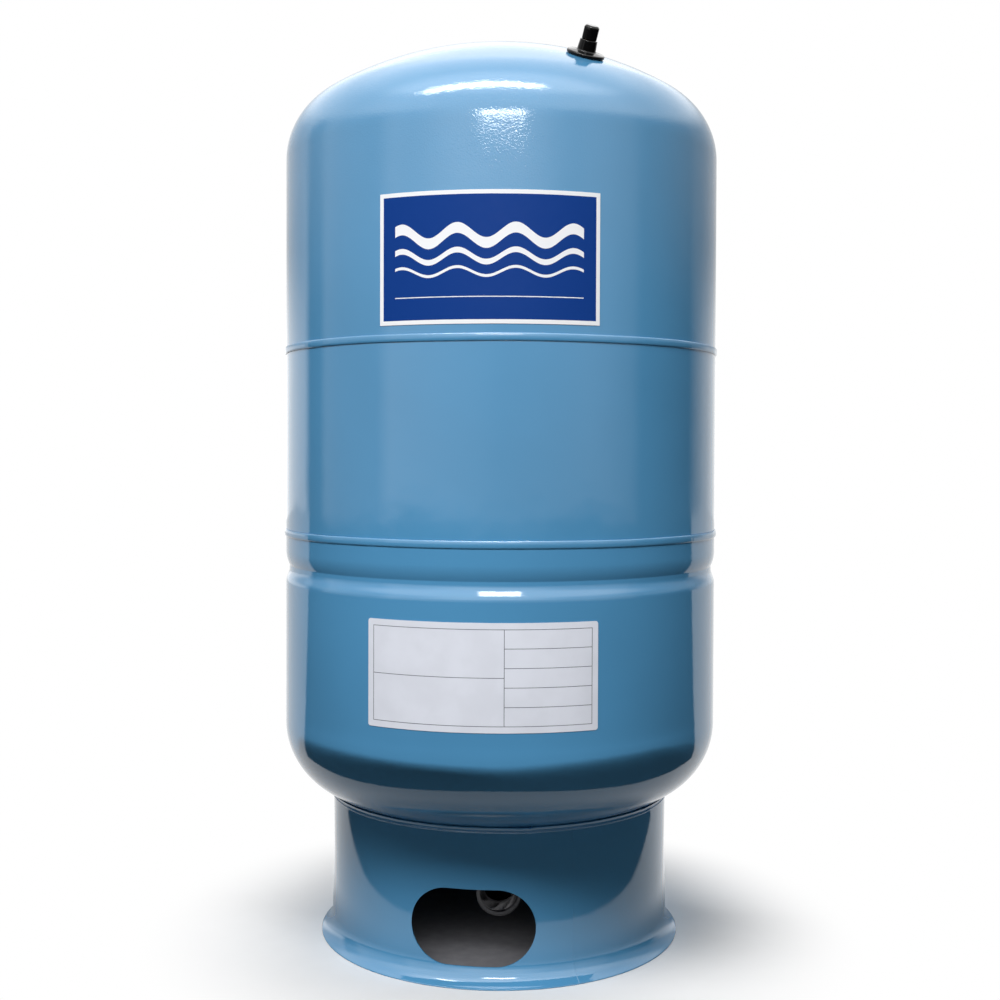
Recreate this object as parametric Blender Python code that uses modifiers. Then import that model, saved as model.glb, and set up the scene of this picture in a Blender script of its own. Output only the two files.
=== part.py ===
"""Upright steel pressure tank for a water system, with a rubber diaphragm and an air valve.

The tank stands on the Z axis with its foot at Z = 0 and its front towards -Y.
All sizes are in metres.
"""
import math

import bmesh
import bpy
import numpy as np
from mathutils import Vector

# Facets round a full turn, and along the curves
STEPS = 40
INNER_STEPS = 20
FINE_STEPS = 16
UPPER_CROWN_FACETS = 6
GROOVE_FACETS = 6
BEND_FACETS = 5

# Gap between pieces that touch
GAP = 0.0003
FINE_GAP = 0.0002

# Steel body
SHELL_RADIUS = 0.1953
SHELL_WALL = 0.0016
UPPER_TANGENT_Z = 0.6962
UPPER_KNUCKLE = 0.0648
UPPER_CROWN = 0.3112
LOWER_TANGENT_Z = 0.1926
LOWER_KNUCKLE = 0.0656
LOWER_CROWN = 0.3070

# Girth seams: the middle shell has a stepped-in lip inside each neighbour
UPPER_SEAM_Z = 0.5252
LOWER_SEAM_Z = 0.3631
LIP_LENGTH = 0.0120
LIP_RAMP = 0.0030
BEAD_HEIGHT = 0.0062
BEAD_PROUD = 0.0016
BEAD_CREST = 0.45

# Groove rolled into the lower shell, which holds the clamp ring
GROOVE_Z = 0.3331
GROOVE_DEPTH = 0.0029
GROOVE_HALF_HEIGHT = 0.0137

# Skirt under the lower head: a little waisted, with a flared lip at its foot
SKIRT_TOP_RADIUS = 0.1521
SKIRT_WAIST_IN = 0.0006
SKIRT_WAIST_Z = 0.0750
SKIRT_FOOT_OUT = 0.0009
SKIRT_WALL = 0.0018
LIP_REACH = 0.0100
LIP_ROUND = 0.0208
FLARE_ANGLE = math.radians(37.0)
LIP_EDGE = 0.0010
SKIRT_WELD_LEG = 0.0034

# Obround hole through the skirt, a little left of the front
HOLE_WIDTH = 0.1040
HOLE_HEIGHT = 0.0630
HOLE_Z = 0.0466
HOLE_TURN = math.radians(-8.5)

# Rubber diaphragm, plastic liner and the ring that clamps them
LINER_WALL = 0.0015
LINER_RIM = 0.0100
DIAPHRAGM_WALL = 0.0025
DIAPHRAGM_RIM = 0.0120
DIAPHRAGM_DRAPE = 0.0200
RING_WALL = 0.0022
RING_HALF_HEIGHT = 0.0095

# Water connection: a bent tube under the tank that ends in a threaded socket
TUBE_RADIUS = 0.0167
TUBE_WALL = 0.0028
BEND_RADIUS = 0.0260
OUTLET_DROP = 0.0307
OUTLET_REACH = 0.1000
SOCKET_RADIUS = 0.0200
SOCKET_LENGTH = 0.0320
SOCKET_BORE = 0.0152
SOCKET_SEAT = 0.0110
SOCKET_CHAMFER = 0.0012
TUBE_WELD_LEG = 0.0034
NECK_RADIUS = 0.0115
NECK_ROUND = 0.0015
NECK_LENGTH = 0.0060
NECK_LIP = 0.0020
SEAL_WIRE = 0.0009
DIFFUSER_RADIUS = 0.0300
DIFFUSER_HEIGHT = 0.0100
DIFFUSER_WALL = 0.0015
DIFFUSER_EDGE = 0.0030
SLOT_WIDTH = 0.0070
SLOT_HEIGHT = 0.0035
SLOT_BARS = 4

# Air valve on the upper head
VALVE_RADIUS = 0.1466
VALVE_TURN = math.radians(27.8)
COLLAR_RADIUS = 0.0160
COLLAR_THICKNESS = 0.0036
COLLAR_EDGE = 0.0012
SLEEVE_HEIGHT = 0.0127
SLEEVE_BASE_RADIUS = 0.0078
SLEEVE_TOP_RADIUS = 0.0072
SLEEVE_CHAMFER = 0.0005
STEM_RADIUS = 0.0039
STEM_HEIGHT = 0.0206
STEM_BORE = 0.0027
STEM_PASSAGE = 0.0016
STEM_CHAMFER = 0.0005
FOOT_RADIUS = 0.0090
FOOT_THICKNESS = 0.0025
WASHER_THICKNESS = 0.0020
CAP_RADIUS = 0.0067
CAP_SIDES = 6
CAP_BLUNT = math.radians(8.0)
CAP_LENGTH = 0.0112
CAP_CHAMFER = 0.0014
CAP_SEAL_THICKNESS = 0.0012

# Spring-loaded core inside the valve
CORE_LENGTH = 0.0104
CORE_DEPTH = 0.0016
CORE_BORE = 0.0015
CORE_END = 0.0018
PIN_RADIUS = 0.0005
PIN_DEPTH = 0.0004
PIN_COLLAR_HEIGHT = 0.0007
PIN_TRAVEL = 0.0015
POPPET_RADIUS = 0.0021
POPPET_HEIGHT = 0.0009
CORE_SEAL_HEIGHT = 0.0006
SPRING_WIRE = 0.00016
SPRING_TURNS = 4
SPRING_POINTS_PER_TURN = 8

# Stickers on the steel body, by their edges left and right of the front
LABEL_THICKNESS = 0.00020
FRONT_LABEL = {
    "left": math.radians(-29.4), "right": math.radians(23.4), "low": 0.5353, "high": 0.6392,
}
DATA_LABEL = {
    "left": math.radians(-32.6), "right": math.radians(23.4), "low": 0.2158, "high": 0.3022,
}
LABEL_STEPS = 20

# Looks: colour, roughness and metallic value
ENAMEL = ((0.105, 0.290, 0.470, 1.0), 0.16, 0.0)
BARE_STEEL = ((0.42, 0.43, 0.45, 1.0), 0.35, 1.0)
STAINLESS = ((0.60, 0.60, 0.61, 1.0), 0.30, 1.0)
BRASS = ((0.72, 0.53, 0.24, 1.0), 0.30, 1.0)
BLACK_PLASTIC = ((0.012, 0.012, 0.013, 1.0), 0.30, 0.0)
BLACK_RUBBER = ((0.020, 0.020, 0.021, 1.0), 0.70, 0.0)
WHITE_PLASTIC = ((0.82, 0.83, 0.82, 1.0), 0.45, 0.0)
LABEL_BLUE = ((0.007, 0.040, 0.205, 1.0), 0.35, 0.0)
LABEL_SILVER = ((0.60, 0.61, 0.69, 1.0), 0.45, 0.0)


def new_collection(name):
    collection = bpy.data.collections.new(name)
    bpy.context.scene.collection.children.link(collection)
    return collection


for old in list(bpy.data.objects):
    bpy.data.objects.remove(old, do_unlink=True)
PARTS = new_collection("pressure_tank")
CUTTERS = new_collection("pressure_tank_cutters")


# Materials and objects

def material(name, colour, roughness, metallic):
    made = bpy.data.materials.new(name)
    made.use_nodes = True
    shader = made.node_tree.nodes["Principled BSDF"]
    shader.inputs["Base Color"].default_value = colour
    shader.inputs["Roughness"].default_value = roughness
    shader.inputs["Metallic"].default_value = metallic
    return made


def add_object(name, data, look=None):
    """Link a new part, or a cutter when it has no look."""
    made = bpy.data.objects.new(name, data)
    if look is None:
        CUTTERS.objects.link(made)
        made.hide_render = True
        made.display_type = "WIRE"
    else:
        PARTS.objects.link(made)
        data.materials.append(material(name, *look))
    return made


def mesh_from(build, name):
    mesh = bpy.data.meshes.new(name)
    shape = bmesh.new()
    build(shape)
    shape.to_mesh(mesh)
    shape.free()
    return mesh


def block_mesh(name, size):
    def draw(shape):
        bmesh.ops.create_cube(shape, size=1.0)
        bmesh.ops.scale(shape, vec=Vector(size), verts=shape.verts)

    return mesh_from(draw, name)


def rod_mesh(name, radius, low, high):
    def draw(shape):
        bmesh.ops.create_cone(
            shape, cap_ends=True, segments=INNER_STEPS, depth=high - low, radius1=radius, radius2=radius)
        bmesh.ops.translate(shape, vec=Vector((0.0, 0.0, 0.5 * (low + high))), verts=shape.verts)

    return mesh_from(draw, name)


def turned(name, outline, look, steps=STEPS, closed=True, sweep=2.0 * math.pi):
    """Turn an outline of (radius, height) points round Z; it runs down its outer side first."""
    def draw(shape):
        points = [shape.verts.new((radius, 0.0, height)) for radius, height in outline]
        ends = list(zip(points, points[1:]))
        if closed:
            ends.append((points[-1], points[0]))
        for start, end in ends:
            shape.edges.new((start, end))

    made = add_object(name, mesh_from(draw, name), look)
    screw = made.modifiers.new("turn", "SCREW")
    screw.axis = "Z"
    screw.angle = sweep
    screw.steps = steps
    screw.render_steps = steps
    screw.use_merge_vertices = True
    screw.merge_threshold = 0.00001
    return made


def thicken(made, wall, offset=-1.0):
    """Give an open surface its wall, inwards unless the offset is +1."""
    solidify = made.modifiers.new("wall", "SOLIDIFY")
    solidify.thickness = wall
    solidify.offset = offset
    solidify.use_even_offset = True
    return made


def cut(made, cutter):
    boolean = made.modifiers.new(cutter.name, "BOOLEAN")
    boolean.operation = "DIFFERENCE"
    boolean.solver = "EXACT"
    boolean.object = cutter


def finish_meshes(angle=math.radians(32.0)):
    """Apply each part's modifiers and shade it smooth between its sharp edges."""
    graph = bpy.context.evaluated_depsgraph_get()
    finished = {}
    for made in PARTS.objects:
        if made.type == "MESH":
            finished[made] = bpy.data.meshes.new_from_object(made.evaluated_get(graph))
    for made, mesh in finished.items():
        made.modifiers.clear()
        made.data = mesh
        mesh.shade_smooth()
        mesh.set_sharp_from_angle(angle=angle)


# Outlines of the steel body

def crown_centre(radius, tangent_z, knuckle, crown, side):
    """Height of the centre of a dished head's crown arc; side is +1 up or -1 down."""
    return tangent_z - side * math.sqrt((crown - knuckle) ** 2 - (radius - knuckle) ** 2)


def head_outline(
        radius, tangent_z, knuckle, crown, side, inset=0.0, hole=0.0, knuckle_steps=4, crown_steps=4):
    """Points of a dished head, from its tangent line to its pole or to a hole there."""
    centre = crown_centre(radius, tangent_z, knuckle, crown, side)
    turn = math.atan2(side * (tangent_z - centre), radius - knuckle)
    last = math.acos(hole / (crown - inset))
    points = []
    for step in range(knuckle_steps + 1):
        angle = turn * step / knuckle_steps
        reach = knuckle - inset
        across = radius - knuckle + reach * math.cos(angle)
        points.append((across, tangent_z + side * reach * math.sin(angle)))
    for step in range(1, crown_steps + 1):
        angle = turn + (last - turn) * step / crown_steps
        reach = crown - inset
        points.append((reach * math.cos(angle), centre + side * reach * math.sin(angle)))
    if hole == 0.0:
        points[-1] = (0.0, points[-1][1])
    return points


def lower_head_outline(inset, hole):
    return head_outline(SHELL_RADIUS, LOWER_TANGENT_Z, LOWER_KNUCKLE, LOWER_CROWN, -1, inset, hole)


def lower_head_z(radius, inset=0.0, hole=TUBE_RADIUS + GAP):
    """Height of the lower head's outer face at a radius, or of a face inset from it."""
    outline = list(reversed(lower_head_outline(inset, hole)))
    return float(np.interp(radius, *zip(*outline)))


def upper_head_drop(radius):
    """How far the upper head falls away from its tangent plane, at a distance from where they touch."""
    return UPPER_CROWN - math.sqrt(UPPER_CROWN ** 2 - radius ** 2)


def groove_radius(height):
    """Radius of the lower shell at a height, on the facets of its rolled groove."""
    offsets = np.linspace(-1.0, 1.0, GROOVE_FACETS + 1)
    dips = 0.5 * GROOVE_DEPTH * (1.0 + np.cos(math.pi * offsets))
    return SHELL_RADIUS - float(np.interp((height - GROOVE_Z) / GROOVE_HALF_HEIGHT, offsets, dips))


def groove_outline(inset, high, low):
    """The rolled groove between two heights, with its corners where the lower shell has them."""
    corners = GROOVE_Z + GROOVE_HALF_HEIGHT * np.linspace(1.0, -1.0, GROOVE_FACETS + 1)
    heights = [high] + [float(corner) for corner in corners if low < corner < high] + [low]
    return [(groove_radius(height) - inset, height) for height in heights]


GROOVE_HIGH = GROOVE_Z + GROOVE_HALF_HEIGHT
GROOVE_LOW = GROOVE_Z - GROOVE_HALF_HEIGHT
LINER_INSET = SHELL_WALL + GAP
DIAPHRAGM_INSET = LINER_INSET + LINER_WALL + GAP
RING_INSET = DIAPHRAGM_INSET + DIAPHRAGM_WALL + GAP
LINER_HOLE = NECK_RADIUS + NECK_ROUND
TUBE_TOP = lower_head_z(0.0, SHELL_WALL)
OUTLET_Z = lower_head_z(0.0) - OUTLET_DROP
DIFFUSER_SEAT = lower_head_z(DIFFUSER_RADIUS, LINER_INSET + LINER_WALL, LINER_HOLE) + GAP
DIFFUSER_TOP = DIFFUSER_SEAT + DIFFUSER_HEIGHT
SKIRT_TOP = lower_head_z(SKIRT_TOP_RADIUS - SKIRT_WALL) - GAP
SKIRT_WAIST_RADIUS = SKIRT_TOP_RADIUS - SKIRT_WAIST_IN
SKIRT_FOOT_RADIUS = SKIRT_TOP_RADIUS + SKIRT_FOOT_OUT
LIP_RADIUS = SKIRT_FOOT_RADIUS + LIP_REACH


def build_shells():
    outline = head_outline(
        SHELL_RADIUS, UPPER_TANGENT_Z, UPPER_KNUCKLE, UPPER_CROWN, 1, crown_steps=UPPER_CROWN_FACETS)
    outline.reverse()
    outline.append((SHELL_RADIUS, UPPER_SEAM_Z + 0.5 * GAP))
    upper = thicken(turned("upper_shell", outline, ENAMEL, closed=False), SHELL_WALL)
    cut(upper, valve_cutter())

    lip = SHELL_RADIUS - SHELL_WALL - GAP
    high = UPPER_SEAM_Z - 0.5 * GAP
    low = LOWER_SEAM_Z + 0.5 * GAP
    outline = [
        (lip, UPPER_SEAM_Z + LIP_LENGTH),
        (lip, high),
        (SHELL_RADIUS, high - LIP_RAMP),
        (SHELL_RADIUS, low + LIP_RAMP),
        (lip, low),
        (lip, LOWER_SEAM_Z - LIP_LENGTH),
    ]
    thicken(turned("middle_shell", outline, ENAMEL, closed=False), SHELL_WALL)

    outline = [(SHELL_RADIUS, LOWER_SEAM_Z - 0.5 * GAP)]
    outline += groove_outline(0.0, GROOVE_HIGH, GROOVE_LOW)
    outline += lower_head_outline(0.0, TUBE_RADIUS + GAP)
    thicken(turned("lower_shell", outline, ENAMEL, closed=False), SHELL_WALL)


def build_welds():
    inner = SHELL_RADIUS + GAP
    for name, seam in (("upper_girth_weld", UPPER_SEAM_Z), ("lower_girth_weld", LOWER_SEAM_Z)):
        half = 0.5 * BEAD_HEIGHT
        crest = SHELL_RADIUS + BEAD_PROUD
        outline = [
            (inner, seam + half),
            (crest, seam + BEAD_CREST * half),
            (crest, seam - BEAD_CREST * half),
            (inner, seam - half),
        ]
        turned(name, outline, ENAMEL)

    side = SKIRT_TOP_RADIUS + GAP
    reach = side + SKIRT_WELD_LEG
    high = lower_head_z(side) - GAP
    low = high - SKIRT_WELD_LEG
    outline = [
        (reach, lower_head_z(reach) - GAP),
        (side + 0.6 * SKIRT_WELD_LEG, 0.5 * (high + low)),
        (skirt_side(low) + GAP, low),
        (side, high),
    ]
    turned("skirt_weld", outline, ENAMEL)


def skirt_side(height):
    """Radius of the skirt's outer side at a height above its waist."""
    share = (height - SKIRT_WAIST_Z) / (SKIRT_TOP - SKIRT_WAIST_Z)
    return SKIRT_WAIST_RADIUS + SKIRT_WAIST_IN * share


def skirt_outline(steps=3):
    """The skirt's outer side, with a flare of two opposite arcs that ends upright on the floor."""
    spread = LIP_REACH / (1.0 - math.cos(FLARE_ANGLE))
    fillet = spread - LIP_ROUND
    flare_top = LIP_EDGE + spread * math.sin(FLARE_ANGLE)
    points = [(SKIRT_TOP_RADIUS, SKIRT_TOP), (SKIRT_WAIST_RADIUS, SKIRT_WAIST_Z)]
    for step in range(steps):
        angle = FLARE_ANGLE * step / steps
        across = SKIRT_FOOT_RADIUS + fillet * (1.0 - math.cos(angle))
        points.append((across, flare_top - fillet * math.sin(angle)))
    for step in range(steps + 1):
        angle = FLARE_ANGLE * (1.0 - step / steps)
        across = LIP_RADIUS - LIP_ROUND * (1.0 - math.cos(angle))
        points.append((across, LIP_EDGE + LIP_ROUND * math.sin(angle)))
    points.append((LIP_RADIUS, 0.0))
    return points


def build_skirt():
    skirt = thicken(turned("base_skirt", skirt_outline(), ENAMEL, closed=False), SKIRT_WALL)

    def obround(shape):
        bmesh.ops.create_cube(shape, size=1.0)
        bmesh.ops.scale(shape, vec=Vector((HOLE_WIDTH, LIP_RADIUS, HOLE_HEIGHT)), verts=shape.verts)
        ends = [edge for edge in shape.edges if edge.verts[0].co.y * edge.verts[1].co.y < 0.0]
        bmesh.ops.bevel(
            shape, geom=ends, offset=0.4995 * HOLE_HEIGHT, segments=8, affect="EDGES", profile=0.5)
        bmesh.ops.translate(shape, vec=Vector((0.0, -LIP_RADIUS, HOLE_Z)), verts=shape.verts)

    cutter = add_object("skirt_hole_cutter", mesh_from(obround, "skirt_hole_cutter"))
    cutter.rotation_euler = (0.0, 0.0, HOLE_TURN)
    cut(skirt, cutter)


def build_chamber():
    """The liner of the water side, the diaphragm that the air presses onto it, and their clamp ring."""
    outline = groove_outline(LINER_INSET, GROOVE_Z + LINER_RIM, GROOVE_LOW)
    outline += lower_head_outline(LINER_INSET, LINER_HOLE)
    outline += [
        (NECK_RADIUS, TUBE_TOP - NECK_ROUND),
        (NECK_RADIUS, TUBE_TOP - NECK_LENGTH),
        (TUBE_RADIUS - TUBE_WALL - 2.0 * GAP, TUBE_TOP - NECK_LENGTH - NECK_LIP),
    ]
    thicken(turned("chamber_liner", outline, WHITE_PLASTIC, INNER_STEPS, False), LINER_WALL)

    drape = DIFFUSER_RADIUS + DIAPHRAGM_DRAPE
    outline = groove_outline(DIAPHRAGM_INSET, GROOVE_Z + DIAPHRAGM_RIM, GROOVE_LOW)
    outline += [point for point in lower_head_outline(DIAPHRAGM_INSET, LINER_HOLE) if point[0] > drape]
    outline += [
        (drape, lower_head_z(drape, DIAPHRAGM_INSET, LINER_HOLE)),
        (DIFFUSER_RADIUS, DIFFUSER_TOP + GAP),
        (0.0, DIFFUSER_TOP + GAP),
    ]
    thicken(turned("diaphragm", outline, BLACK_RUBBER, INNER_STEPS, False), DIAPHRAGM_WALL)

    outline = groove_outline(RING_INSET, GROOVE_Z + RING_HALF_HEIGHT, GROOVE_Z - RING_HALF_HEIGHT)
    thicken(turned("clamp_ring", outline, BARE_STEEL, INNER_STEPS, False), RING_WALL)


def tube_mesh(name, route, radius, sides):
    """An open tube along (depth, height) points in the plane X = 0."""
    curve = bpy.data.curves.new(name, "CURVE")
    curve.dimensions = "3D"
    curve.bevel_depth = radius
    curve.bevel_resolution = (sides - 4) // 2
    curve.use_fill_caps = False
    line = curve.splines.new("POLY")
    line.points.add(len(route) - 1)
    for point, (depth, height) in zip(line.points, route):
        point.co = (0.0, depth, height, 1.0)
    guide = add_object(name, curve)
    graph = bpy.context.evaluated_depsgraph_get()
    mesh = bpy.data.meshes.new_from_object(guide.evaluated_get(graph))
    bpy.data.objects.remove(guide, do_unlink=True)
    return mesh


def face_front(made, depth):
    """Turn a piece built along Z so that its top faces the front, at the outlet's height."""
    made.location = (0.0, -depth, OUTLET_Z)
    made.rotation_euler = (0.5 * math.pi, 0.0, 0.0)
    return made


def build_connection():
    bend_top = OUTLET_Z + BEND_RADIUS
    route = [(0.0, TUBE_TOP)]
    for step in range(BEND_FACETS + 1):
        angle = 0.5 * math.pi * step / BEND_FACETS
        route.append((-BEND_RADIUS * (1.0 - math.cos(angle)), bend_top - BEND_RADIUS * math.sin(angle)))
    route.append((-(OUTLET_REACH - SOCKET_LENGTH + SOCKET_SEAT - GAP), OUTLET_Z))
    mesh = tube_mesh("inlet_elbow", route, TUBE_RADIUS, 20)
    thicken(add_object("inlet_elbow", mesh, STAINLESS), TUBE_WALL)

    side = TUBE_RADIUS + GAP
    outline = [
        (SOCKET_RADIUS - SOCKET_CHAMFER, 0.0),
        (SOCKET_RADIUS, -SOCKET_CHAMFER),
        (SOCKET_RADIUS, SOCKET_CHAMFER - SOCKET_LENGTH),
        (SOCKET_RADIUS - SOCKET_CHAMFER, -SOCKET_LENGTH),
        (side, -SOCKET_LENGTH),
        (side, SOCKET_SEAT - SOCKET_LENGTH),
        (SOCKET_BORE, SOCKET_SEAT - SOCKET_LENGTH),
        (SOCKET_BORE, -SOCKET_CHAMFER),
        (SOCKET_BORE + SOCKET_CHAMFER, 0.0),
    ]
    face_front(turned("outlet_socket", outline, STAINLESS, INNER_STEPS), OUTLET_REACH)

    toe = side + TUBE_WELD_LEG
    outline = [(toe, -GAP), (side, -GAP - TUBE_WELD_LEG), (side, -GAP)]
    face_front(turned("socket_weld", outline, STAINLESS, INNER_STEPS), OUTLET_REACH - SOCKET_LENGTH)

    low = lower_head_z(toe) - GAP
    outline = [(toe, low), (side, low - TUBE_WELD_LEG), (side, lower_head_z(side) - GAP)]
    turned("inlet_weld", outline, STAINLESS, INNER_STEPS)


def build_inlet_seal():
    """The rubber ring between the liner's neck and the tube's bore."""
    bpy.ops.mesh.primitive_torus_add(
        major_segments=INNER_STEPS,
        minor_segments=6,
        major_radius=0.5 * (NECK_RADIUS + TUBE_RADIUS - TUBE_WALL),
        minor_radius=SEAL_WIRE,
        location=(0.0, 0.0, TUBE_TOP - 0.6 * NECK_LENGTH),
    )
    ring = bpy.context.object
    ring.name = "neck_seal"
    for collection in list(ring.users_collection):
        collection.objects.unlink(ring)
    PARTS.objects.link(ring)
    ring.data.materials.append(material("neck_seal", *BLACK_RUBBER))


def build_diffuser():
    """A slotted plastic cap over the inlet, on the liner's floor."""
    outline = [
        (0.0, DIFFUSER_TOP),
        (DIFFUSER_RADIUS - DIFFUSER_EDGE, DIFFUSER_TOP),
        (DIFFUSER_RADIUS, DIFFUSER_TOP - DIFFUSER_EDGE),
        (DIFFUSER_RADIUS, DIFFUSER_SEAT),
    ]
    diffuser = thicken(turned("inlet_diffuser", outline, WHITE_PLASTIC, INNER_STEPS, False), DIFFUSER_WALL)
    for bar in range(SLOT_BARS):
        size = (2.5 * DIFFUSER_RADIUS, SLOT_WIDTH, SLOT_HEIGHT)
        cutter = add_object(f"diffuser_slot_cutter_{bar + 1}", block_mesh("diffuser_slot_cutter", size))
        cutter.location = (0.0, 0.0, DIFFUSER_SEAT + 0.5 * (DIFFUSER_HEIGHT - DIFFUSER_EDGE))
        cutter.rotation_euler = (0.0, 0.0, math.pi * (bar + 0.5) / SLOT_BARS)
        cut(diffuser, cutter)


# Air valve: its pieces stand on an empty, whose Z is the upper head's outward normal

VALVE_TILT = math.asin(VALVE_RADIUS / UPPER_CROWN)
STEM_HOLE = STEM_RADIUS + GAP
CROWN_SPREAD = math.asin((SHELL_RADIUS - UPPER_KNUCKLE) / (UPPER_CROWN - UPPER_KNUCKLE))
FACET_SAG = (
    VALVE_RADIUS * (1.0 - math.cos(math.pi / STEPS))
    + UPPER_CROWN * (1.0 - math.cos(0.5 * CROWN_SPREAD / UPPER_CROWN_FACETS))
)
WASHER_TOP = -SHELL_WALL - upper_head_drop(FOOT_RADIUS) - FACET_SAG - GAP
FOOT_TOP = WASHER_TOP - WASHER_THICKNESS - GAP
CORE_TOP = STEM_HEIGHT - CORE_DEPTH
CORE_LOW = CORE_TOP - CORE_LENGTH
CORE_ROOF = CORE_TOP - CORE_END
SPRING_SEAT = CORE_LOW + CORE_END
PIN_HOLE = PIN_RADIUS + GAP
PIN_COLLAR_TOP = CORE_ROOF - FINE_GAP
PIN_COLLAR_LOW = PIN_COLLAR_TOP - PIN_COLLAR_HEIGHT
CORE_SEAL_TOP = CORE_LOW - FINE_GAP
CORE_SEAL_LOW = CORE_SEAL_TOP - CORE_SEAL_HEIGHT
POPPET_TOP = CORE_SEAL_LOW - FINE_GAP
POPPET_LOW = POPPET_TOP - POPPET_HEIGHT
CAP_LOW = SLEEVE_HEIGHT + GAP
CAP_SEAL_LOW = STEM_HEIGHT + GAP
CAP_SEAL_TOP = CAP_SEAL_LOW + CAP_SEAL_THICKNESS


def valve_axis():
    centre = crown_centre(SHELL_RADIUS, UPPER_TANGENT_Z, UPPER_KNUCKLE, UPPER_CROWN, 1)
    empty = bpy.data.objects.new("valve_axis", None)
    PARTS.objects.link(empty)
    empty.location = (
        VALVE_RADIUS * math.sin(VALVE_TURN),
        -VALVE_RADIUS * math.cos(VALVE_TURN),
        centre + UPPER_CROWN * math.cos(VALVE_TILT),
    )
    empty.rotation_euler = (VALVE_TILT, 0.0, VALVE_TURN)
    return empty


VALVE_AXIS = valve_axis()


def on_valve(made):
    made.parent = VALVE_AXIS
    return made


def valve_cutter():
    mesh = rod_mesh("valve_hole_cutter", STEM_HOLE, -4.0 * SHELL_WALL, 4.0 * SHELL_WALL)
    return on_valve(add_object("valve_hole_cutter", mesh))


def build_valve_body():
    outline = [
        (STEM_RADIUS - STEM_CHAMFER, STEM_HEIGHT),
        (STEM_RADIUS, STEM_HEIGHT - STEM_CHAMFER),
        (STEM_RADIUS, FOOT_TOP),
        (FOOT_RADIUS, FOOT_TOP),
        (FOOT_RADIUS, FOOT_TOP - FOOT_THICKNESS),
        (STEM_PASSAGE, FOOT_TOP - FOOT_THICKNESS),
        (STEM_PASSAGE, POPPET_LOW - 2.0 * PIN_TRAVEL - STEM_BORE + STEM_PASSAGE),
        (STEM_BORE, POPPET_LOW - 2.0 * PIN_TRAVEL),
        (STEM_BORE, STEM_HEIGHT),
    ]
    on_valve(turned("valve_stem", outline, BRASS, INNER_STEPS))

    low = WASHER_TOP - WASHER_THICKNESS
    outline = [(FOOT_RADIUS, WASHER_TOP), (FOOT_RADIUS, low), (STEM_HOLE, low), (STEM_HOLE, WASHER_TOP)]
    on_valve(turned("valve_washer", outline, BLACK_RUBBER, INNER_STEPS))

    edge = COLLAR_RADIUS - COLLAR_EDGE
    outline = [
        (SLEEVE_TOP_RADIUS - SLEEVE_CHAMFER, SLEEVE_HEIGHT),
        (SLEEVE_TOP_RADIUS, SLEEVE_HEIGHT - SLEEVE_CHAMFER),
        (SLEEVE_BASE_RADIUS, COLLAR_THICKNESS + COLLAR_EDGE),
        (SLEEVE_BASE_RADIUS + COLLAR_EDGE, COLLAR_THICKNESS),
        (edge, COLLAR_THICKNESS - 0.5 * COLLAR_EDGE),
        (COLLAR_RADIUS, COLLAR_THICKNESS - 1.3 * COLLAR_EDGE),
        (COLLAR_RADIUS, COLLAR_EDGE),
    ]
    for radius in (edge, 0.5 * (edge + STEM_HOLE), STEM_HOLE):
        outline.append((radius, GAP - upper_head_drop(radius)))
    outline.append((STEM_HOLE, SLEEVE_HEIGHT))
    on_valve(turned("valve_collar", outline, BLACK_PLASTIC, INNER_STEPS))


def build_valve_core():
    sleeve = STEM_BORE - GAP
    outline = [
        (sleeve, CORE_TOP),
        (sleeve, CORE_LOW),
        (PIN_HOLE, CORE_LOW),
        (PIN_HOLE, SPRING_SEAT),
        (CORE_BORE, SPRING_SEAT),
        (CORE_BORE, CORE_ROOF),
        (PIN_HOLE, CORE_ROOF),
        (PIN_HOLE, CORE_TOP),
    ]
    on_valve(turned("core_sleeve", outline, BRASS, FINE_STEPS))

    collar = CORE_BORE - FINE_GAP
    pin_top = STEM_HEIGHT - PIN_DEPTH
    outline = [
        (0.0, pin_top),
        (0.7 * PIN_RADIUS, pin_top),
        (PIN_RADIUS, pin_top - 0.3 * PIN_RADIUS),
        (PIN_RADIUS, PIN_COLLAR_TOP),
        (collar, PIN_COLLAR_TOP),
        (collar, PIN_COLLAR_LOW),
        (PIN_RADIUS, PIN_COLLAR_LOW),
        (PIN_RADIUS, POPPET_TOP),
        (POPPET_RADIUS, POPPET_TOP),
        (POPPET_RADIUS, POPPET_LOW),
        (0.0, POPPET_LOW),
    ]
    on_valve(turned("core_pin", outline, BRASS, FINE_STEPS, False))

    outline = [
        (POPPET_RADIUS, CORE_SEAL_TOP),
        (POPPET_RADIUS, CORE_SEAL_LOW),
        (PIN_HOLE, CORE_SEAL_LOW),
        (PIN_HOLE, CORE_SEAL_TOP),
    ]
    on_valve(turned("core_seal", outline, BLACK_RUBBER, FINE_STEPS))


def build_core_spring():
    coil_radius = 0.5 * (PIN_RADIUS + CORE_BORE)
    low = SPRING_SEAT + SPRING_WIRE + FINE_GAP
    high = PIN_COLLAR_LOW - SPRING_WIRE - FINE_GAP
    curve = bpy.data.curves.new("core_spring", "CURVE")
    curve.dimensions = "3D"
    curve.bevel_depth = SPRING_WIRE
    curve.bevel_resolution = 1
    curve.use_fill_caps = True
    count = SPRING_POINTS_PER_TURN * SPRING_TURNS
    line = curve.splines.new("POLY")
    line.points.add(count)
    for index, point in enumerate(line.points):
        angle = 2.0 * math.pi * index / SPRING_POINTS_PER_TURN
        height = low + (high - low) * index / count
        point.co = (coil_radius * math.cos(angle), coil_radius * math.sin(angle), height, 1.0)
    on_valve(add_object("core_spring", curve, BARE_STEEL))


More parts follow.
